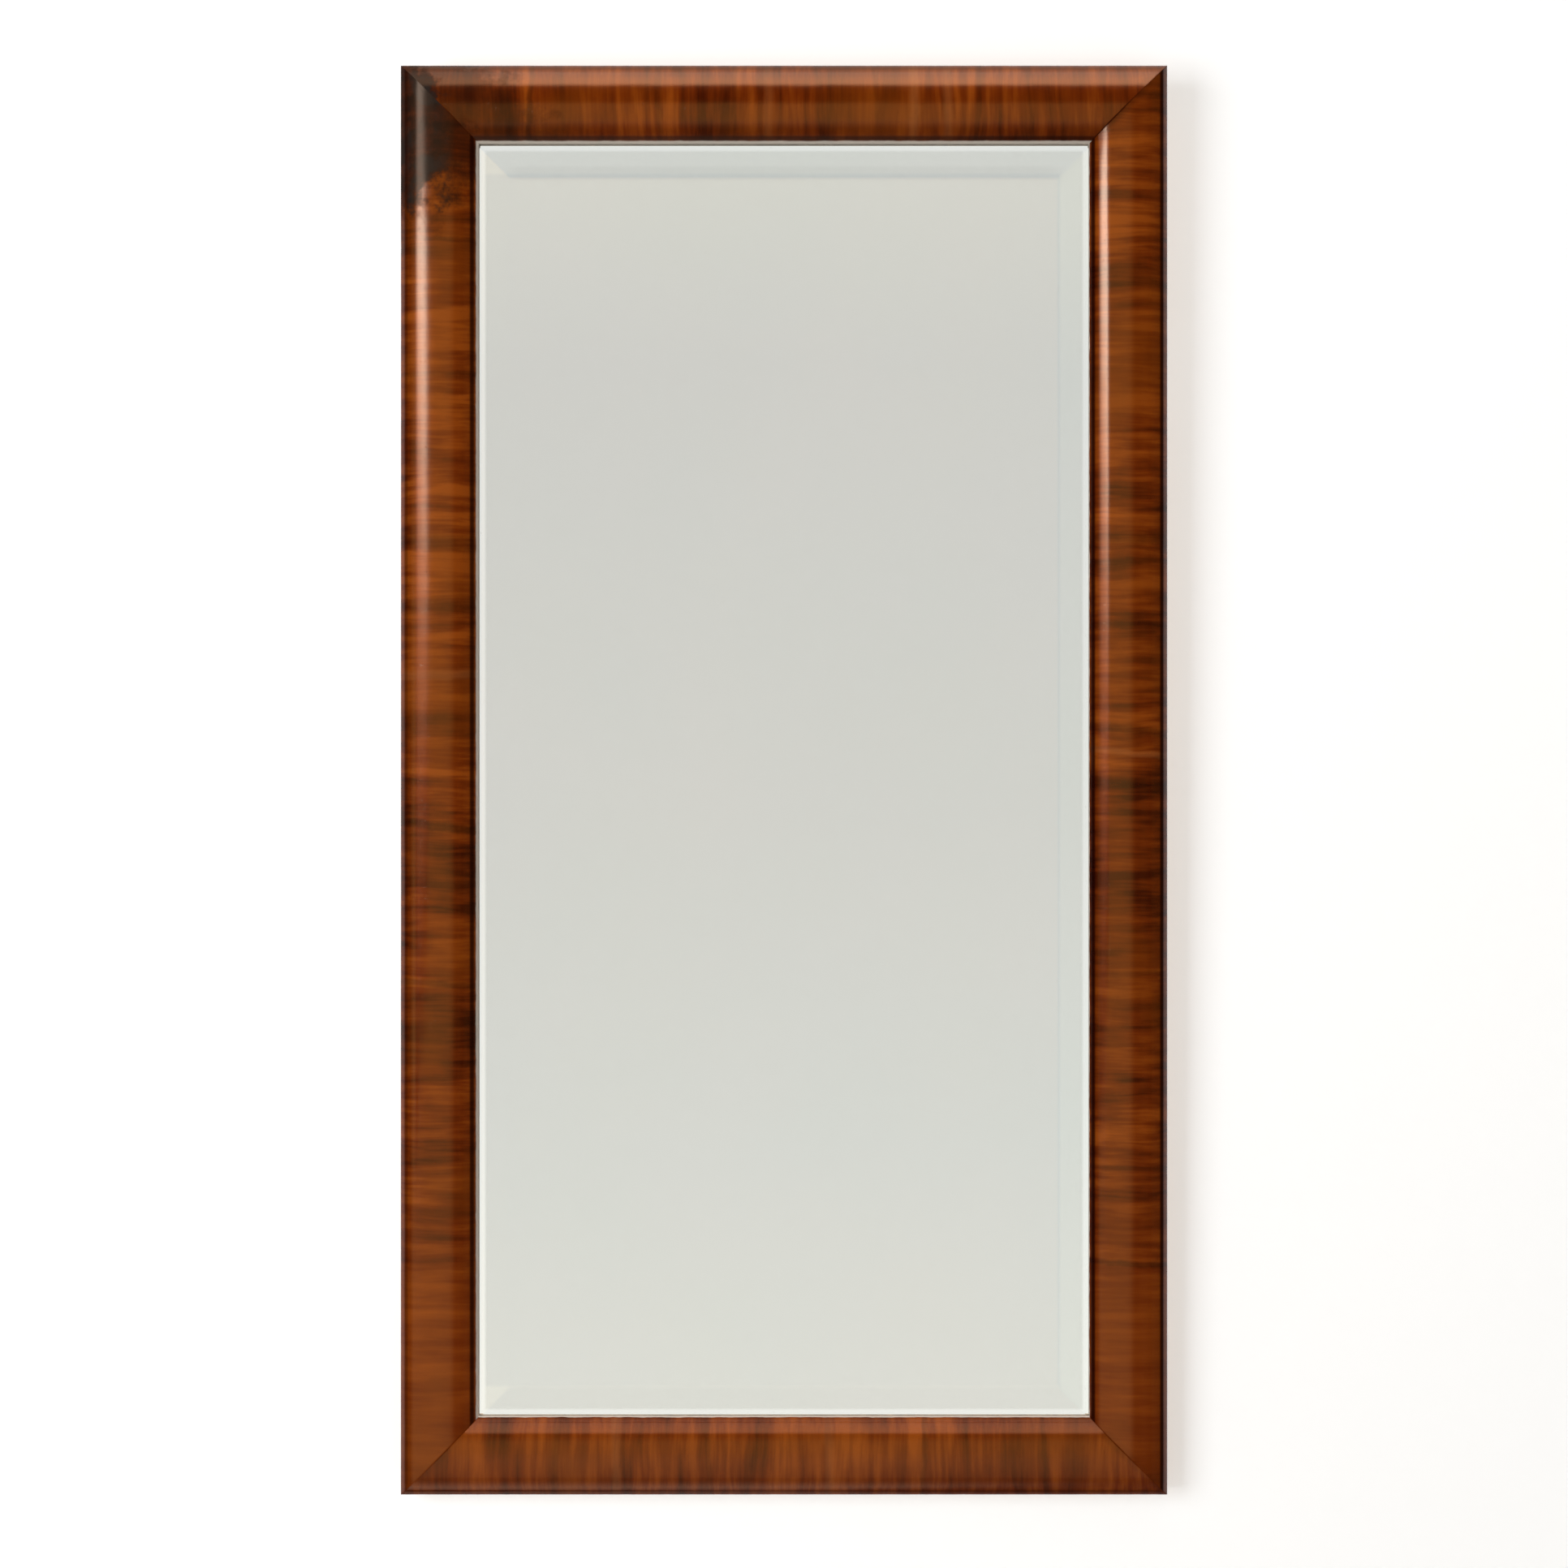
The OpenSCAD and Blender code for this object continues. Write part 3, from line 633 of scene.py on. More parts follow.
softFinish = {
    "rubber": {"shown": (0.02, 0.018, 0.017), "dark": (0.018, 0.017, 0.016), "light": (0.040, 0.037, 0.034),
               "dust": (0.13, 0.12, 0.11), "roughness": 0.6},
    "cork": {"shown": (0.30, 0.17, 0.09), "light": (0.36, 0.21, 0.11), "dark": (0.20, 0.105, 0.05),
             "hollow": (0.07, 0.035, 0.018), "cellScale": 900.0, "roughness": 0.82},
}


def rubberMaterial():
    v = softFinish["rubber"]
    material, shader, place = startMaterial("bumperRubber", v["shown"])
    aged = group(agedSurface, vector=place, smearSize=0.008, speckSize=0.001, speckAmount=0.7,
                 waveSize=0.003, seed=6.0)
    colour = blendColour(aged["Smears"], v["dark"], v["light"])
    colour = blendColour(times(aged["Specks"], 0.5), colour, v["dust"])
    setShader(shader, colour=colour, roughness=scaled(aged["Smears"], 0.15, v["roughness"]))
    height = total(times(aged["Specks"], 0.00004), times(aged["Waves"], 0.00012))
    bumpSurface(shader, height)
    return material


def corkMaterial():
    v = softFinish["cork"]
    material, shader, place = startMaterial("settingCork", v["shown"])
    grains = cells(place, v["cellScale"])
    aged = group(agedSurface, vector=place, smearSize=0.004, speckSize=0.001, speckAmount=0.8,
                 waveSize=0.003, seed=2.0)
    colour = blendColour(grains, v["light"], v["dark"])
    colour = blendColour(times(aged["Specks"], 0.7), colour, v["hollow"])
    setShader(shader, colour=colour, roughness=scaled(aged["Smears"], 0.1, v["roughness"]))
    bumpSurface(shader, times(grains, 0.0001))
    return material


plateFinish = {
    "shown": (0.8, 0.85, 0.82), "glass": (0.975, 0.99, 0.98), "greener": (0.95, 0.985, 0.965), "ior": 1.52,
    "ripple": 0.00002, "silver": (0.763, 0.783, 0.777), "warmer": (0.81, 0.797, 0.747),
    "bevelPaintedReflection": (0.832, 0.837, 0.807), "bevelEdge": (0.0242, 0.0205), "arrisPaintedShade": (0.45, 0.44, 0.42),
    "arrisBand": (0.0218, 0.0022, 0.0055), "arrisEnd": (0.012, 0.034), "rim": (1.0, 1.0, 0.985),
    "rimWidth": 0.0044, "tarnish": (0.30, 0.26, 0.19), "haze": 0.012,
}


def glassMaterial():
    v = plateFinish
    material, shader, place = startMaterial("bevelledGlass", v["shown"])
    aged = group(agedSurface, vector=place, smearSize=0.2, speckSize=0.002, speckAmount=0.1,
                 waveSize=0.25, seed=1.0)
    colour = blendColour(times(aged["Smears"], 0.3), v["glass"], v["greener"])
    setShader(shader, colour=colour, roughness=0.0, ior=v["ior"], transmission=1.0)
    bumpSurface(shader, aged["Waves"], v["ripple"])
    return material


def silverMaterial():  # painted paler behind the right, top and bottom bevels as a painted reflection, with painted shade along the top arris and a painted bright glint rim beside the lip
    v = plateFinish
    material, shader, place = startMaterial("oldSilvering", v["silver"])
    centred = mapped(place, Location=(0, 0, -midZ))
    parts = axes(centred)
    fromSides = minus(sightX, unsigned(parts["X"]))
    fromEnds = minus(sightZ, unsigned(parts["Z"]))
    away = least(fromSides, fromEnds)
    aged = group(agedSurface, vector=centred, smearSize=0.11, speckSize=0.0022, speckAmount=0.42,
                 waveSize=0.3, seed=12.0)
    foxed = times(aged["Specks"], scaled(spread(away, 0.012, 0.001), 0.22, 0.012))
    colour = blendColour(times(aged["Smears"], 0.10), v["silver"], v["warmer"])
    # Paler silver behind the bevels: a painted reflection
    besideBevel = least(minus(sightX, parts["X"]), fromEnds)
    colour = blendColour(spread(besideBevel, *v["bevelEdge"]), colour, v["bevelPaintedReflection"])
    # A darker band along the top arris: painted shade
    arrisPaintedShade = times(band(minus(sightZ, parts["Z"]), *v["arrisBand"]), spread(fromSides, *v["arrisEnd"]))
    colour = blendColour(times(arrisPaintedShade, 0.14), colour, v["arrisPaintedShade"])
    # A bright rim beside the lip: a painted glint
    rim = spread(away, v["rimWidth"] * 1.35, v["rimWidth"] * 0.75)
    colour = blendColour(rim, colour, v["rim"])
    colour = blendColour(foxed, colour, v["tarnish"])
    setShader(shader, colour=colour, metallic=1.0, roughness=scaled(foxed, 0.2, v["haze"]))
    return material


plainMaterials = {name: plainWoodMaterial(name) for name in plainWoods}
plainMaterials.update({name: metalMaterial(name) for name in metalFinish})
plainMaterials.update(bumperRubber=rubberMaterial(), settingCork=corkMaterial(),
                      bevelledGlass=glassMaterial(), oldSilvering=silverMaterial())
faceVeneers = {side: faceVeneerMaterial(side) for side in members}
print("materials made:", len(plainMaterials) + len(faceVeneers))


# Turning trees and meshes into pieces

def positionParts(tree):
    return axes(put(tree, "GeometryNodeInputPosition").outputs[0])


def joinedShapes(*shapes):
    tree = treeOf(*shapes)
    made = put(tree, "GeometryNodeJoinGeometry")
    for shape in shapes:
        tree.links.new(shape, made.inputs[0])
    return made.outputs[0]


def movedShape(shape, z, size=(1.0, 1.0, 1.0)):
    tree = treeOf(shape)
    move = put(tree, "ShaderNodeCombineXYZ", {2: z}).outputs[0]
    inputs = {"Geometry": shape, "Translation": move, "Scale": size}
    return put(tree, "GeometryNodeTransform", inputs).outputs[0]


def cutShape(shape, cutter):
    return put(treeOf(shape), "GeometryNodeMeshBoolean", {0: shape, 1: cutter}, operation="DIFFERENCE",
               solver="EXACT").outputs[0]


def endTree(tree, given, result, shape):
    solid = put(tree, "GeometryNodeRealizeInstances", {"Geometry": shape}).outputs[0]
    finished = put(tree, "GeometryNodeSetMaterial", {"Geometry": solid, "Material": given["Finish"]})
    tree.links.new(finished.outputs[0], result.inputs[0])
    return tree


def runTree(tree, name, values, points=()):
    base = bpy.data.meshes.new(name + ".base")
    base.from_pydata([tuple(p) for p in points], [], [])
    carrier = bpy.data.objects.new(name + ".carrier", base)
    scene.collection.objects.link(carrier)
    modifier = carrier.modifiers.new("made", "NODES")
    modifier.node_group = tree
    for item in tree.interface.items_tree:
        if item.item_type == "SOCKET" and item.in_out == "INPUT" and item.name in values:
            modifier[item.identifier] = values[item.name]
    mesh = bpy.data.meshes.new_from_object(carrier.evaluated_get(bpy.context.evaluated_depsgraph_get()))
    carrier.modifiers.remove(modifier)
    bpy.data.objects.remove(carrier)
    mesh.name = name
    return mesh


def finishMesh(mesh, place=None, sharpAngle=30):
    if place is not None:
        mesh.transform(place)
    shape = bmesh.new()
    shape.from_mesh(mesh)
    bmesh.ops.remove_doubles(shape, verts=shape.verts, dist=1e-6)
    bmesh.ops.recalc_face_normals(shape, faces=shape.faces)
    shape.to_mesh(mesh)
    shape.free()
    for polygon in mesh.polygons:
        polygon.use_smooth = True
    mesh.set_sharp_from_angle(angle=math.radians(sharpAngle))
    return mesh


def addPiece(name, mesh, node, material=None):  # every piece that is made belongs to the fixed body
    piece = bpy.data.objects.new(name, mesh)
    scene.collection.objects.link(piece)
    if material is not None:
        mesh.materials.clear()
        mesh.materials.append(material)
    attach(piece, "mirror")
    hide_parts(node)


# The cushion: one veneer on each member, swept by rule from a three-centred profile

cushion = {"Length": frameHeight, "Width": mouldingWidth, "Veneer": 0.001, "Crown Radius": 0.090,
           "Shoulder Radius": 0.026, "Shoulder Width": 0.016, "Side Height": 0.020, "Arris": 0.0011,
           "Wear": 0.00022, "Seed": 1, "Points Across": 41, "Steps Along": 110}
cushionSharp = 34


# In plain numbers: x goes from edge to edge, y is 0 on top and 1 below, and z goes along
def closedStrip(tree, given):
    across = given["Points Across"]
    columns = times(across, 2.0)
    strip = put(tree, "GeometryNodeMeshGrid", {
        "Size X": 1.0, "Size Y": 1.0, "Vertices X": total(columns, 1.0),
        "Vertices Y": given["Steps Along"]}).outputs[0]
    here = positionParts(tree)
    count = calc("ROUND", times(total(here[0], 0.5), columns))
    back = minus(minus(columns, 1.0), count)
    folded = share(most(least(count, back), 0.0), minus(across, 1.0))
    below = times(calc("GREATER_THAN", count, minus(across, 0.5)),
                  calc("LESS_THAN", count, minus(columns, 0.5)))
    plain = point(folded, below, total(here[1], 0.5))
    shells = [put(tree, "GeometryNodeSetPosition", {"Geometry": strip, "Position": plain}).outputs[0]]
    for end in (0.0, 1.0):
        cap = put(tree, "GeometryNodeMeshGrid", {
            "Size X": 1.0, "Size Y": 1.0, "Vertices X": across, "Vertices Y": 2}).outputs[0]
        shells.append(put(tree, "GeometryNodeTransform", {
            "Geometry": cap, "Translation": (0.5, 0.5, end)}).outputs[0])
    return put(tree, "GeometryNodeMergeByDistance", {
        "Geometry": joinedShapes(*shells), "Distance": 0.0005}).outputs[0]


def arcHeight(radius, distance):
    squares = minus(times(radius, radius), times(distance, distance))
    return calc("SQRT", most(squares, 0.0))


def cushionHeight(given, half, off, under):  # of the crown, and of the shoulders beyond it
    tilt = share(minus(half, given["Shoulder Width"]), given["Crown Radius"])
    tiltCos = calc("SQRT", minus(1.0, times(tilt, tilt)))
    spare = minus(given["Crown Radius"], given["Shoulder Radius"])
    shoulderOff = times(spare, tilt)
    sideRise = arcHeight(given["Shoulder Radius"], minus(half, shoulderOff))
    shoulderMid = minus(given["Side Height"], sideRise)
    crownMid = minus(shoulderMid, times(spare, tiltCos))
    crownRadius = minus(given["Crown Radius"], under)
    shoulderRadius = minus(given["Shoulder Radius"], under)
    shoulder = total(shoulderMid, arcHeight(shoulderRadius, minus(off, shoulderOff)))
    crown = total(crownMid, arcHeight(crownRadius, off))
    onCrown = calc("LESS_THAN", off, times(crownRadius, tilt))
    inputs = {0: onCrown, 2: shoulder, 3: crown}
    return put(treeOf(onCrown), "ShaderNodeMix", inputs, data_type="FLOAT").outputs[0]


def cushionWear(given, edgeAway, along):  # what the eased arris and small knocks take off the top
    softened = calc("SUBTRACT", 1.0, edgeAway, clamp=True)
    drop = times(times(softened, softened), times(given["Arris"], 0.3))
    inputs = {"W": scaled(along, 130.0, given["Seed"]), "Scale": 1.0, "Detail": 3.0}
    knocks = put(treeOf(along), "ShaderNodeTexNoise", inputs, noise_dimensions="1D").outputs[0]
    beside = calc("SUBTRACT", 1.0, times(edgeAway, 0.3), clamp=True)
    knocked = calc("SUBTRACT", knocks, 0.45, clamp=True)
    worn = times(knocked, beside, times(given["Wear"], 5.0))
    return total(drop, worn)


def cushionTree():
    tree, given, result = startTree(
        "cushionVeneer", "GeometryNodeTree",
        {"Geometry": "NodeSocketGeometry", **cushion, "Finish": "NodeSocketMaterial"},
        {"Geometry": "NodeSocketGeometry"})
    closed = closedStrip(tree, given)
    here = positionParts(tree)
    half = share(given["Width"], 2.0)
    inward = times(half, minus(1.0, calc("COSINE", times(here[0], math.pi))))
    off = unsigned(minus(inward, half))
    along = scaled(here[2], minus(given["Length"], times(inward, 2.0)), inward)
    high = cushionHeight(given, half, off, times(given["Veneer"], here[1]))
    edgeAway = share(minus(half, off), given["Arris"])
    takenOff = times(minus(1.0, here[1]), cushionWear(given, edgeAway, along))
    ruled = point(inward, minus(high, takenOff), along)
    shaped = put(tree, "GeometryNodeSetPosition", {"Geometry": closed, "Position": ruled}).outputs[0]
    return endTree(tree, given, result, shaped)


def memberPlace(side):  # from inwards, height and along to the row's frame
    along, inward = Vector((0, 0, 1)), Vector((1, 0, 0))
    start = Vector((frameLow.x, frameBack, frameLow.z))
    if side == "right":
        inward, start.x = Vector((-1, 0, 0)), frameHigh.x
    elif side in ("top", "bottom"):
        along, inward = Vector((1, 0, 0)), Vector((0, 0, -1 if side == "top" else 1))
        start.z = frameHigh.z if side == "top" else frameLow.z
    return Matrix.Translation(start) @ Matrix((inward, (0, -1, 0), along)).transposed().to_4x4()


sweep = cushionTree()
for number, side in enumerate(members):
    values = {**cushion, "Length": members[side]["length"], "Seed": 5 * number + 1,
              "Finish": faceVeneers[side]}
    mesh = finishMesh(runTree(sweep, "cushionVeneer." + side, values), memberPlace(side), cushionSharp)
    addPiece("cushionVeneer." + side, mesh, "veneer_" + side)
print("cushion veneers swept")


# The bevelled plate, with the arrises of its bevels eased

plate = {"bevel": 0.030, "edge": 0.002, "ease": 0.0009, "behind": 0.00003, "sharp": 4}


def bevelledPlate():
    low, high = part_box("mirror_plate")
    back = high.y - plate["behind"]
    shape = bmesh.new()
    rings = []
    for inset, y in ((0.0, back), (0.0, high.y - plate["edge"]), (plate["bevel"], low.y)):
        rings.append([shape.verts.new((x, y, z)) for x, z in (
            (low.x + inset, low.z + inset), (high.x - inset, low.z + inset),
            (high.x - inset, high.z - inset), (low.x + inset, high.z - inset))])
    shape.faces.new(rings[0])
    shape.faces.new(rings[2])
    for first, second in zip(rings, rings[1:]):
        for k in range(4):
            shape.faces.new((first[k], first[(k + 1) % 4], second[(k + 1) % 4], second[k]))
    shape.edges.ensure_lookup_table()
    inner = [edge for edge in shape.edges if all(abs(vert.co.y - low.y) < 1e-6 for vert in edge.verts)]
    bmesh.ops.bevel(shape, geom=inner, offset=plate["ease"], segments=4, profile=0.5, affect="EDGES")
    mesh = bpy.data.meshes.new("bevelledPlate")
    shape.to_mesh(mesh)
    shape.free()
    return finishMesh(mesh, sharpAngle=plate["sharp"])


addPiece("bevelledPlate", bevelledPlate(), "mirror_plate", plainMaterials["bevelledGlass"])
print("bevelled plate made")


# Slotted screws, one tree for both kinds

boardScrews = {"Head Diameter": 0.006, "Head Height": 0.0018, "Shank Diameter": 0.003, "Length": 0.016,
               "Point": 0.003, "Slot Width": 0.0008, "Slot Depth": 0.0009, "Round Head": 0.0,
               "Turn": math.radians(47)}
strapScrews = {**boardScrews, "Head Diameter": 0.007, "Head Height": 0.002, "Shank Diameter": 0.004,
               "Length": 0.015, "Round Head": 1.0, "Turn": math.radians(63)}
screwFacets = {"head": 28, "dome": 20, "stem": 16, "tip": 0.0004, "touching": 0.00001}
screwPlaces = {"fromEdge": 0.0455, "aside": 5, "strapSeat": 0.0012, "strapEnd": 0.0035}


def screwHead(tree, given, headRadius, shankRadius):  # sunk or round, with its slot cut
    sunkHead = put(tree, "GeometryNodeMeshCone", {
        "Vertices": screwFacets["head"], "Radius Bottom": headRadius, "Radius Top": shankRadius,
        "Depth": given["Head Height"]}).outputs[0]
    ball = put(tree, "GeometryNodeMeshUVSphere", {
        "Segments": screwFacets["head"], "Rings": screwFacets["dome"], "Radius": 1.0}).outputs[0]
    dome = movedShape(ball, 0.0, point(headRadius, headRadius, given["Head Height"]))
    block = put(tree, "GeometryNodeMeshCube", {"Size": (0.02, 0.02, 0.01)}).outputs[0]
    roundHead = cutShape(dome, movedShape(block, 0.005))
    head = put(tree, "GeometryNodeSwitch", {
        "Switch": calc("GREATER_THAN", given["Round Head"], 0.5), "False": sunkHead, "True": roundHead},
        input_type="GEOMETRY").outputs[0]
    slotSize = point(times(given["Head Diameter"], 2.0), given["Slot Width"], given["Slot Depth"])
    slotCutter = put(tree, "GeometryNodeMeshCube", {"Size": slotSize}).outputs[0]
    upright = times(given["Head Height"], given["Round Head"])
    slotPlace = minus(share(given["Slot Depth"], 2.02), upright)
    return cutShape(head, movedShape(slotCutter, slotPlace))


def screwStem(tree, given, shankRadius):
    shankTop = times(given["Head Height"], minus(1.0, given["Round Head"]))
    tipStart = minus(given["Length"], given["Point"])
    straight = minus(tipStart, shankTop)
    shank = put(tree, "GeometryNodeMeshCylinder", {
        "Vertices": screwFacets["stem"], "Radius": shankRadius, "Depth": straight}).outputs[0]
    tip = put(tree, "GeometryNodeMeshCone", {
        "Vertices": screwFacets["stem"], "Radius Bottom": shankRadius, "Radius Top": screwFacets["tip"],
        "Depth": given["Point"]}).outputs[0]
    stem = joinedShapes(movedShape(shank, scaled(straight, 0.5, shankTop)), movedShape(tip, tipStart))
    # The two discs between shank and point go, which leaves the stem one closed skin.
    fromJoint = unsigned(minus(positionParts(tree)["Z"], tipStart))
    between = calc("LESS_THAN", fromJoint, screwFacets["touching"])
    opened = put(tree, "GeometryNodeDeleteGeometry", {"Geometry": stem, "Selection": between},
                 domain="FACE", mode="ALL").outputs[0]
    return put(tree, "GeometryNodeMergeByDistance", {
        "Geometry": opened, "Distance": screwFacets["touching"]}).outputs[0]


def screwTree():  # z runs into the wood, and the seat is z = 0
    tree, given, result = startTree(
        "slottedScrews", "GeometryNodeTree",
        {"Points": "NodeSocketGeometry", **boardScrews, "Finish": "NodeSocketMaterial"},
        {"Geometry": "NodeSocketGeometry"})
    headRadius = share(given["Head Diameter"], 2.0)
    shankRadius = share(given["Shank Diameter"], 2.0)
    whole = joinedShapes(screwHead(tree, given, headRadius, shankRadius),
                         screwStem(tree, given, shankRadius))
    spin = times(put(tree, "GeometryNodeInputIndex").outputs[0], given["Turn"])
    rows = put(tree, "GeometryNodeInstanceOnPoints", {
        "Points": given["Points"], "Instance": whole,
        "Rotation": point(math.radians(90), spin)}).outputs[0]
    return endTree(tree, given, result, rows)


def boardSeats():  # one row up each side, then one row along each end
    aside, fromEdge = screwPlaces["aside"], screwPlaces["fromEdge"]
    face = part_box("board_left")[1].y
    sideRows = [(side * (frameWidth / 2 - fromEdge), face, midZ - sightZ + 2 * sightZ * (k + 0.5) / aside)
                for side in (-1, 1) for k in range(aside)]
    endRows = [(boardPitch * (k + 0.5 - boardCount) / 2, face, z)
               for z in (frameLow.z + fromEdge, frameHigh.z - fromEdge) for k in range(2 * boardCount)]
    return sideRows + endRows


def strapSeats(side):
    low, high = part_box("strap_screws_" + side)
    seat, end = frameBack + screwPlaces["strapSeat"], screwPlaces["strapEnd"]
    return [((low.x + high.x) / 2, seat, z) for z in (low.z + end, high.z - end)]


screwing, seats = screwTree(), boardSeats()
mesh = runTree(screwing, "boardScrews", {**boardScrews, "Finish": plainMaterials["agedBrass"]}, seats)
addPiece("boardScrews", finishMesh(mesh), "board_screws")
for side in ("left", "right"):
    values = {**strapScrews, "Finish": plainMaterials["screwSteel"]}
    mesh = runTree(screwing, "strapScrews." + side, values, strapSeats(side))
    addPiece("strapScrews." + side, finishMesh(mesh), "strap_screws_" + side)
print("board screws driven:", len(seats))


# Pieces whose CAD shape is right: copies with eased arrises, or the nodes themselves

easedPieces = {  # width of the eased arris, record slot, material and nodes
    "boards": (0.0006, "board_pine", "boardPine", ("board_left", "board_middle", "board_right")),
    "bumpers": (0.0004, "bumper_rubber", "bumperRubber", ("bumper_left", "bumper_right")),
}
easing = {"flat": 1, "from": 50, "steps": 2, "sharp": 38}


def easedCopy(node, width):
    shape = bmesh.new()
    shape.from_mesh(cadNodes[node].data)
    bmesh.ops.remove_doubles(shape, verts=shape.verts, dist=1e-6)
    flat = math.radians(easing["flat"])
    bmesh.ops.dissolve_limit(shape, angle_limit=flat, verts=shape.verts, edges=shape.edges)
    mesh = bpy.data.meshes.new(node + ".eased")
    shape.to_mesh(mesh)
    shape.free()
    carrier = bpy.data.objects.new(node + ".carrier", mesh)
    scene.collection.objects.link(carrier)
    carrier.modifiers.new("eased", "BEVEL")
    settings = carrier.modifiers["eased"]
    settings.width, settings.segments, settings.limit_method = width, easing["steps"], "ANGLE"
    settings.angle_limit = math.radians(easing["from"])
    result = bpy.data.meshes.new_from_object(carrier.evaluated_get(bpy.context.evaluated_depsgraph_get()))
    bpy.data.objects.remove(carrier)
    return result


for width, slotName, finish, nodes in easedPieces.values():
    for node in nodes:
        mesh = finishMesh(easedCopy(node, width), sharpAngle=easing["sharp"])
        addPiece("eased." + node, mesh, node, plainMaterials[finish])

finishedNodes = {
    "corePine": ("core_left", "core_right"), "corePineRail": ("core_top", "core_bottom"),
    "edgeVeneerStile": ("edge_veneer_left", "edge_veneer_right"),
    "edgeVeneerRail": ("edge_veneer_top", "edge_veneer_bottom"),
    "keyHardwood": ("key_top_left", "key_top_right", "key_bottom_left", "key_bottom_right"),
    "oldSilvering": ("silvering",), "settingCork": ("setting_shims",), "wedgePine": ("retaining_wedges",),
    "strapSteel": ("strap_left", "strap_right"), "ringSteel": ("ring_left", "ring_right"),
}
for finish, nodes in finishedNodes.items():
    for node in nodes:
        slots = cadNodes[node].material_slots
        for place in slots:
            place.material = plainMaterials[finish]
        if not slots:
            cadNodes[node].data.materials.append(plainMaterials[finish])
print("CAD pieces finished:", sum(len(nodes) for nodes in finishedNodes.values()))


# Wall, floor, lamps and room

room = {"wallLean": 0.021, "wallGap": 0.0002, "wallTone": (0.90, 0.94, 0.98),
        "wallLift": (0.325, 0.285, 0.240), "wallTop": 1.9, "floorLevel": -1.32, "floorFront": -4.5,
        "floorBack": 1.5, "floorTone": (0.62, 0.61, 0.59), "floorLift": (0.36, 0.36, 0.36), "reach": 3.0}


def bareMaterial(name):
    material = bpy.data.materials.new(name)
    material.use_nodes = True
    tree = material.node_tree
    tree.nodes.remove(tree.nodes["Principled BSDF"])
    return material, tree, tree.nodes["Material Output"].inputs["Surface"]


def stageMaterial(name, tone, lift):  # matt paint, lifted towards white for the camera alone
    material, tree, surface = bareMaterial(name)
    place = put(tree, "ShaderNodeTexCoord").outputs["Object"]
    mottled = scaled(noise(place, 3.0, 3.0), 0.02, 0.99)
    matt = put(tree, "ShaderNodeBsdfDiffuse", {"Color": filtered(tone, mottled)})
    cameraRay = put(tree, "ShaderNodeLightPath").outputs["Is Camera Ray"]
    glow = put(tree, "ShaderNodeEmission", {"Color": (*lift, 1), "Strength": cameraRay})
    front = put(tree, "ShaderNodeAddShader", {0: matt.outputs[0], 1: glow.outputs[0]}).outputs[0]
    behind = put(tree, "ShaderNodeNewGeometry").outputs["Backfacing"]
    clear = put(tree, "ShaderNodeBsdfTransparent").outputs[0]
    mixed = put(tree, "ShaderNodeMixShader", {0: behind, 1: front, 2: clear})
    tree.links.new(mixed.outputs[0], surface)
    return material


def addStage(name, corners, material):
    mesh = bpy.data.meshes.new(name)
    mesh.from_pydata(corners, [], [(0, 1, 2, 3)])
    mesh.materials.append(material)
    piece = bpy.data.objects.new(name, mesh)
    scene.collection.objects.link(piece)
    return piece


def wallAndFloor():
    reach, wallTop, floorLevel = room["reach"], room["wallTop"], room["floorLevel"]
    wallFoot, wallHead = [(z - frameLow.z) * room["wallLean"] / frameHeight + room["wallGap"]
                          for z in (floorLevel, wallTop)]
    wallCorners = [(-reach, wallFoot, floorLevel), (reach, wallFoot, floorLevel), (reach, wallHead, wallTop),
                   (-reach, wallHead, wallTop)]
    floorCorners = [(x, y, floorLevel) for x, y in (
        (-reach, room["floorFront"]), (reach, room["floorFront"]), (reach, room["floorBack"]),
        (-reach, room["floorBack"]))]
    wallPaint = stageMaterial("wallPaint", room["wallTone"], room["wallLift"])
    floorBoards = stageMaterial("floorBoards", room["floorTone"], room["floorLift"])
    wall, floor = addStage("wall", wallCorners, wallPaint), addStage("floor", floorCorners, floorBoards)
    for piece in (wall, floor):
        piece.visible_glossy = piece.visible_transmission = False
    wall.visible_shadow = wall.visible_diffuse = False


wallAndFloor()

# Two sheets that only the polish reflects: a tall window along the left of the room, and a dark beam across
# it. The tones are how bright the window is along it and up it, and the tints its colour by how bright it is.
reflected = {
    "sideWindow": {
        "near": (-1.2, -1.1), "far": (-2.2, -6.62), "low": -0.8, "high": 0.95, "strength": 18.6,
        "wideTones": [(0.0, 0.30), (0.10, 1.0), (0.45, 1.0), (0.61, 0.78), (0.84, 0.42), (1.0, 0.18)],
        "highTones": [(0.0, 0.0), (0.21, 0.08), (0.31, 0.13), (0.406, 0.21), (0.526, 0.48), (0.634, 0.78),
                      (0.714, 0.93), (0.80, 1.0)],
        "tints": [(0.0, (1.0, 0.34, 0.12)), (0.18, (1.0, 0.43, 0.23)), (0.78, (1.0, 0.65, 0.45)),
                  (1.0, (1.0, 0.745, 0.57))]},
    "beam": {
        "near": (0.36, -0.5), "far": (-0.36, -0.5), "low": 0.255, "high": 0.436,
        "colour": (0.05, 0.020, 0.006)},
}


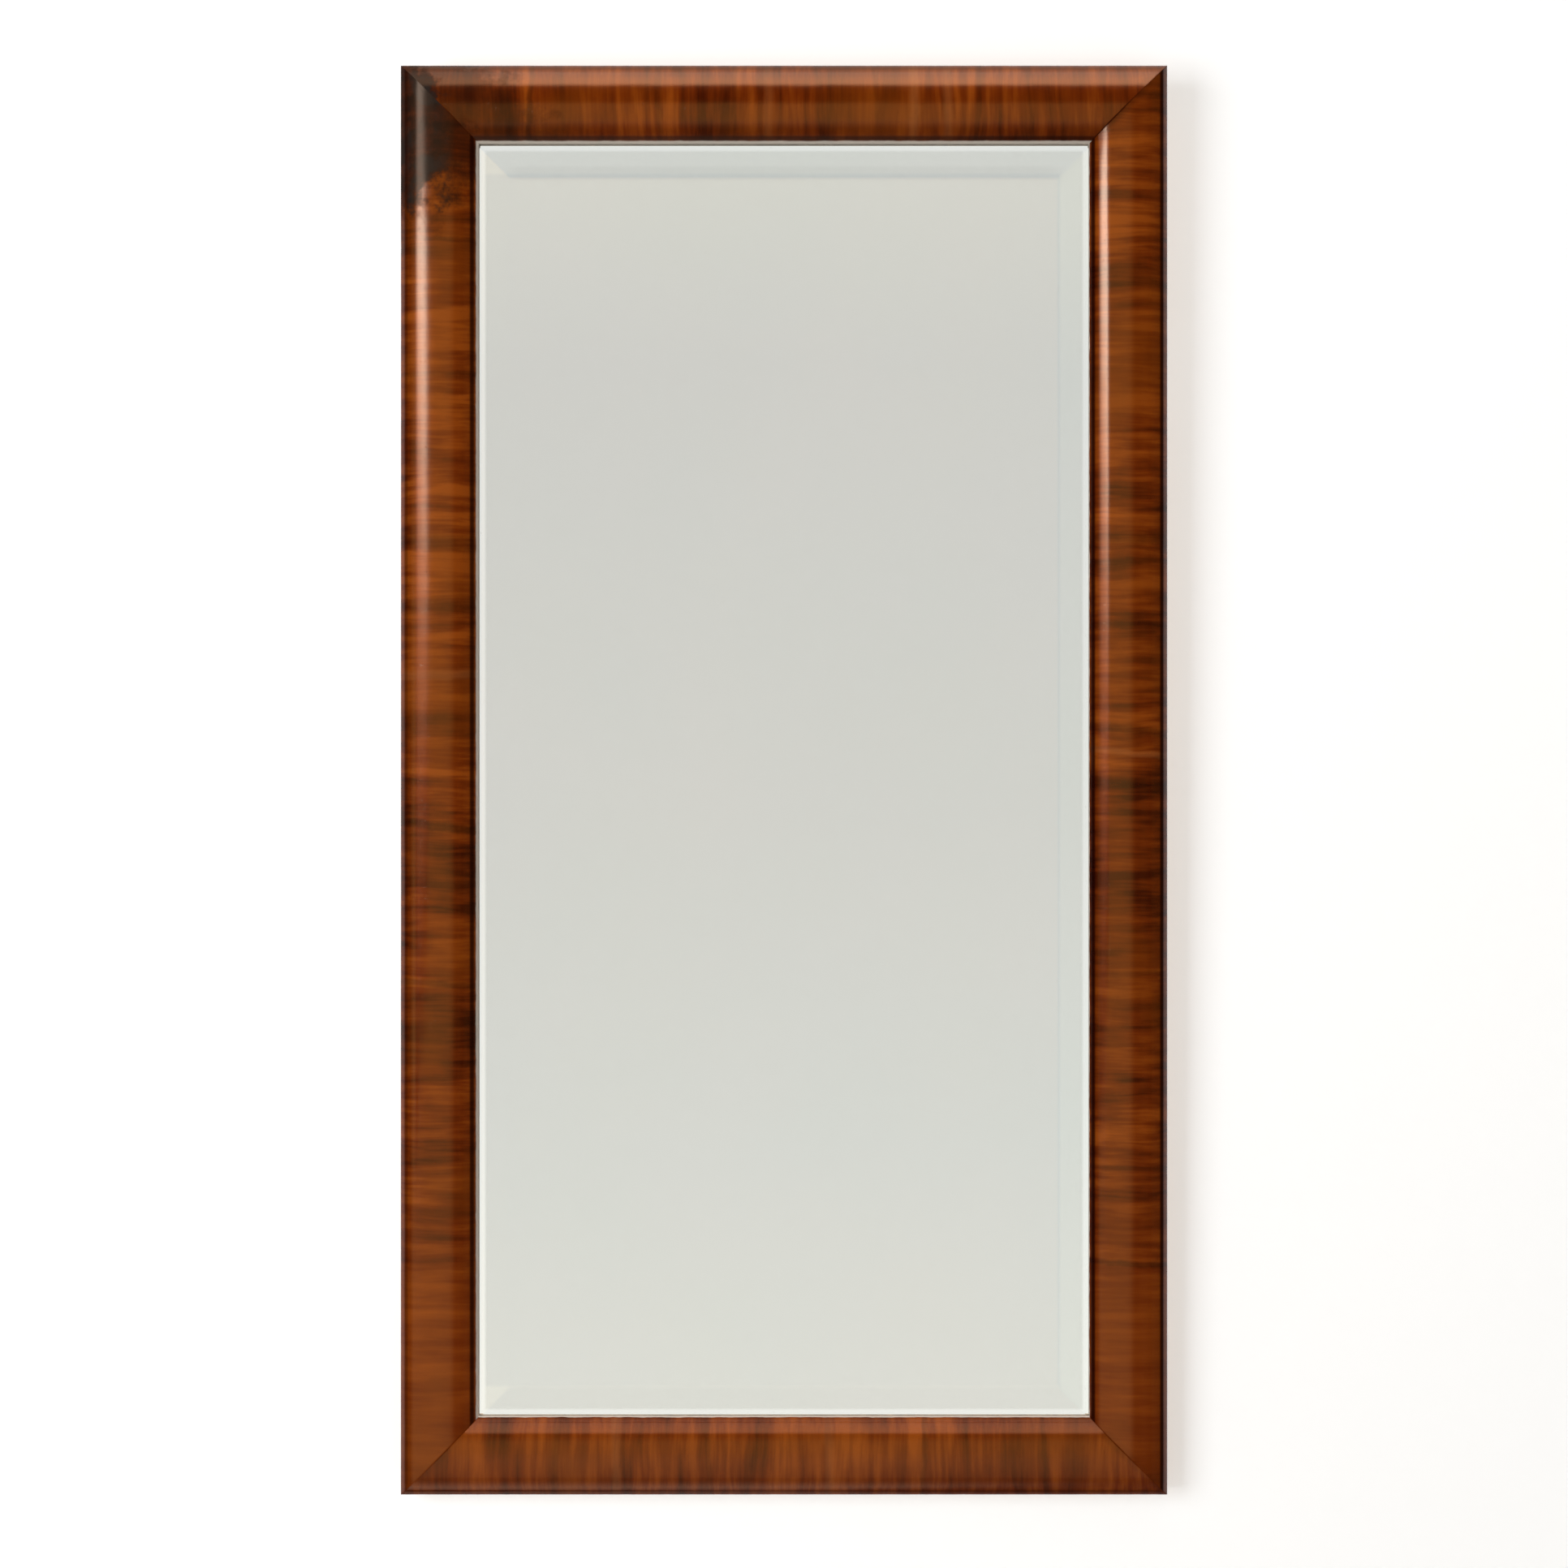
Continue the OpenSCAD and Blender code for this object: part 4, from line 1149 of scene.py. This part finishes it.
def reflectedMaterial(name):
    v = reflected[name]
    material, tree, surface = bareMaterial(name)
    if "colour" in v:
        light = put(tree, "ShaderNodeEmission", {"Color": (*v["colour"], 1), "Strength": 1.0})
    else:
        place = axes(put(tree, "ShaderNodeTexCoord").outputs["Object"])
        run = share(minus(place["Y"], v["near"][1]), v["far"][1] - v["near"][1])
        rise = share(minus(place["Z"], v["low"]), v["high"] - v["low"])
        wide, high = toneRamp(run, v["wideTones"]), toneRamp(rise, v["highTones"])
        light = put(tree, "ShaderNodeEmission", {
            "Color": toneRamp(high, v["tints"]), "Strength": times(wide, high, v["strength"])})
    tree.links.new(light.outputs[0], surface)
    material.cycles.emission_sampling = "NONE"
    return material


for name, v in reflected.items():
    corners = [(*v[end], v[level])
               for end, level in (("near", "low"), ("far", "low"), ("far", "high"), ("near", "high"))]
    piece = addStage(name, corners, reflectedMaterial(name))
    piece.visible_camera = piece.visible_diffuse = piece.visible_transmission = piece.visible_shadow = False

lamps = {  # place, size in x and y, radiance, tint, whether it casts shadows and whether it is reflected
    "keyWindow": ((-2.7, -3.3, -0.30), (2.1, 2.8), 5.13, (0.98, 0.99, 1.0), True, False),
    "topSoft": ((0.0, -2.4, 4.9), (3.6, 3.2), 5.7, (1.0, 0.995, 0.985), False, False),
    "backKey": ((1.8, 3.2, 1.6), (1.6, 1.6), 5.0, (1.0, 0.985, 0.965), True, True),
    "backFill": ((-2.4, 2.4, 0.3), (2.0, 2.0), 1.6, (0.97, 0.985, 1.0), True, True),
}
for name, (place, size, radiance, tint, shadows, reflectedToo) in lamps.items():
    lamp = bpy.data.lights.new(name, "AREA")
    lamp.shape, lamp.size, lamp.size_y = "RECTANGLE", *size
    lamp.energy = radiance * math.pi * size[0] * size[1]
    lamp.color, lamp.use_shadow = tint, shadows
    holder = bpy.data.objects.new(name, lamp)
    scene.collection.objects.link(holder)
    holder.location = place
    holder.rotation_euler = (Vector((0, 0, midZ)) - Vector(place)).to_track_quat("-Z", "Y").to_euler()
    holder.visible_glossy = reflectedToo
    holder.visible_camera = holder.visible_transmission = False

# Tones of the room that the mirror and the polish show. Each stop is a place and its colour or brightness.
roomTones = {
    "shown": [  # up the mirror: a pale room, lighter low down; the flat of the plate shows the middle stops
        (0.033, (1.0, 0.975, 0.939)), (0.212, (0.969, 0.953, 0.922)), (0.327, (0.904, 0.901, 0.890)),
        (0.483, (0.857, 0.843, 0.836)), (0.700, (0.820, 0.809, 0.811)), (0.783, (0.880, 0.864, 0.836)),
        (0.950, (0.896, 0.867, 0.833))],
    "cloud": (0.933, 0.906, 0.844),
    "lit": [  # from left to right
        (0.0, 0.0), (0.06, 0.05), (0.12, 0.9), (0.456, 1.0), (0.55, 0.95), (0.59, 0.05), (0.63, 0.03),
        (0.66, 0.17), (0.70, 0.08), (0.76, 0.04), (0.85, 0.15), (0.93, 0.12)],
    "warm": [  # from the floor up to above eye height
        (0.0, (0.38, 0.26, 0.20)), (0.02, (1.0, 0.66, 0.45)), (0.058, (0.75, 0.46, 0.30)),
        (0.10, (0.36, 0.21, 0.12)), (0.17, (0.20, 0.10, 0.045)), (0.24, (0.50, 0.27, 0.13)),
        (0.37, (0.78, 0.41, 0.17)), (0.47, (0.81, 0.41, 0.12)), (0.60, (0.81, 0.39, 0.106)),
        (0.75, (0.78, 0.34, 0.08))],
    "ceiling": [  # from the wall to straight above
        (0.5, (1.0, 0.52, 0.28)), (0.707, (0.93, 0.50, 0.28)), (0.809, (0.80, 0.46, 0.28)),
        (0.891, (0.67, 0.40, 0.26)), (0.951, (0.60, 0.38, 0.26)), (0.985, (0.34, 0.20, 0.13)),
        (1.0, (0.28, 0.17, 0.11))],
    "warmLight": (1.6, 1.6, 1.6), "ceilingLight": (7.2, 7.2, 7.2), "ceilingEdge": (0.42, 0.55),
    "behindLow": (0.35, 0.34, 0.33), "behindHigh": (0.95, 0.93, 0.90), "matt": (0.15, 0.15, 0.15),
}


def shownRoom(direction, toward):
    ahead = most(unsigned(toward["Y"]), 0.05)
    upward = scaled(share(toward["Z"], ahead), 1 / 0.6, 0.5, clamp=True)
    shown = toneRamp(upward, roomTones["shown"])
    cloudy = spread(noise(direction, 7.0, 2.0, 0.5, 4.0), 0.4, 0.75)
    return blendColour(times(cloudy, 0.10), shown, roomTones["cloud"])


# A warm room that is darker on the right, with a floor, a pale ceiling and the wall behind the mirror
def polishRoom(toward):
    v = roomTones
    level = calc("SQRT", total(times(toward["X"], toward["X"]), times(toward["Y"], toward["Y"])))
    turned = scaled(share(toward["X"], most(level, 0.02)), 0.5, 0.5)
    tall = scaled(toward["Z"], 0.5, 0.5)
    warm = filtered(toneRamp(tall, v["warm"]), toneRamp(turned, v["lit"]))
    warm = filtered(warm, v["warmLight"])
    ceiling = filtered(toneRamp(toward["Z"], v["ceiling"]), v["ceilingLight"])
    warm = blendColour(spread(toward["Z"], *v["ceilingEdge"]), warm, ceiling)
    behind = blendColour(spread(tall, 0.15, 0.5), v["behindLow"], v["behindHigh"])
    flat = spread(unsigned(toward["Z"]), 0.65, 0.35)
    edgeOn = times(spread(toward["Y"], -0.10, -0.01), flat)
    return blendColour(most(edgeOn, spread(toward["Y"], 0.05, 0.40)), warm, behind)


def roomLight():
    world = bpy.data.worlds.new("room")
    scene.world = world
    world.use_nodes = True
    tree = world.node_tree
    direction = put(tree, "ShaderNodeTexCoord").outputs["Generated"]
    toward = axes(direction)
    path = put(tree, "ShaderNodeLightPath").outputs
    colour = blendColour(path["Is Glossy Ray"], roomTones["matt"], polishRoom(toward))
    colour = blendColour(path["Is Transmission Ray"], colour, shownRoom(direction, toward))
    colour = blendColour(path["Is Camera Ray"], colour, (1.0, 1.0, 1.0))
    tree.links.new(colour, tree.nodes["Background"].inputs["Color"])


roomLight()
print("room lit with", len(lamps), "lamps")

view = {"place": (0.0, -2.626, -0.353), "lens": 77.55, "sensor": 36, "nearest": 0.01}
camera = bpy.data.objects.new("camera", bpy.data.cameras.new("camera"))
scene.collection.objects.link(camera)
camera.location, camera.rotation_euler = view["place"], (math.radians(90), 0, 0)
camera.data.lens, camera.data.clip_start = view["lens"], view["nearest"]
camera.data.sensor_width, camera.data.sensor_fit = view["sensor"], "HORIZONTAL"
scene.camera = camera
scene.view_settings.view_transform = "Standard"
print("camera placed")
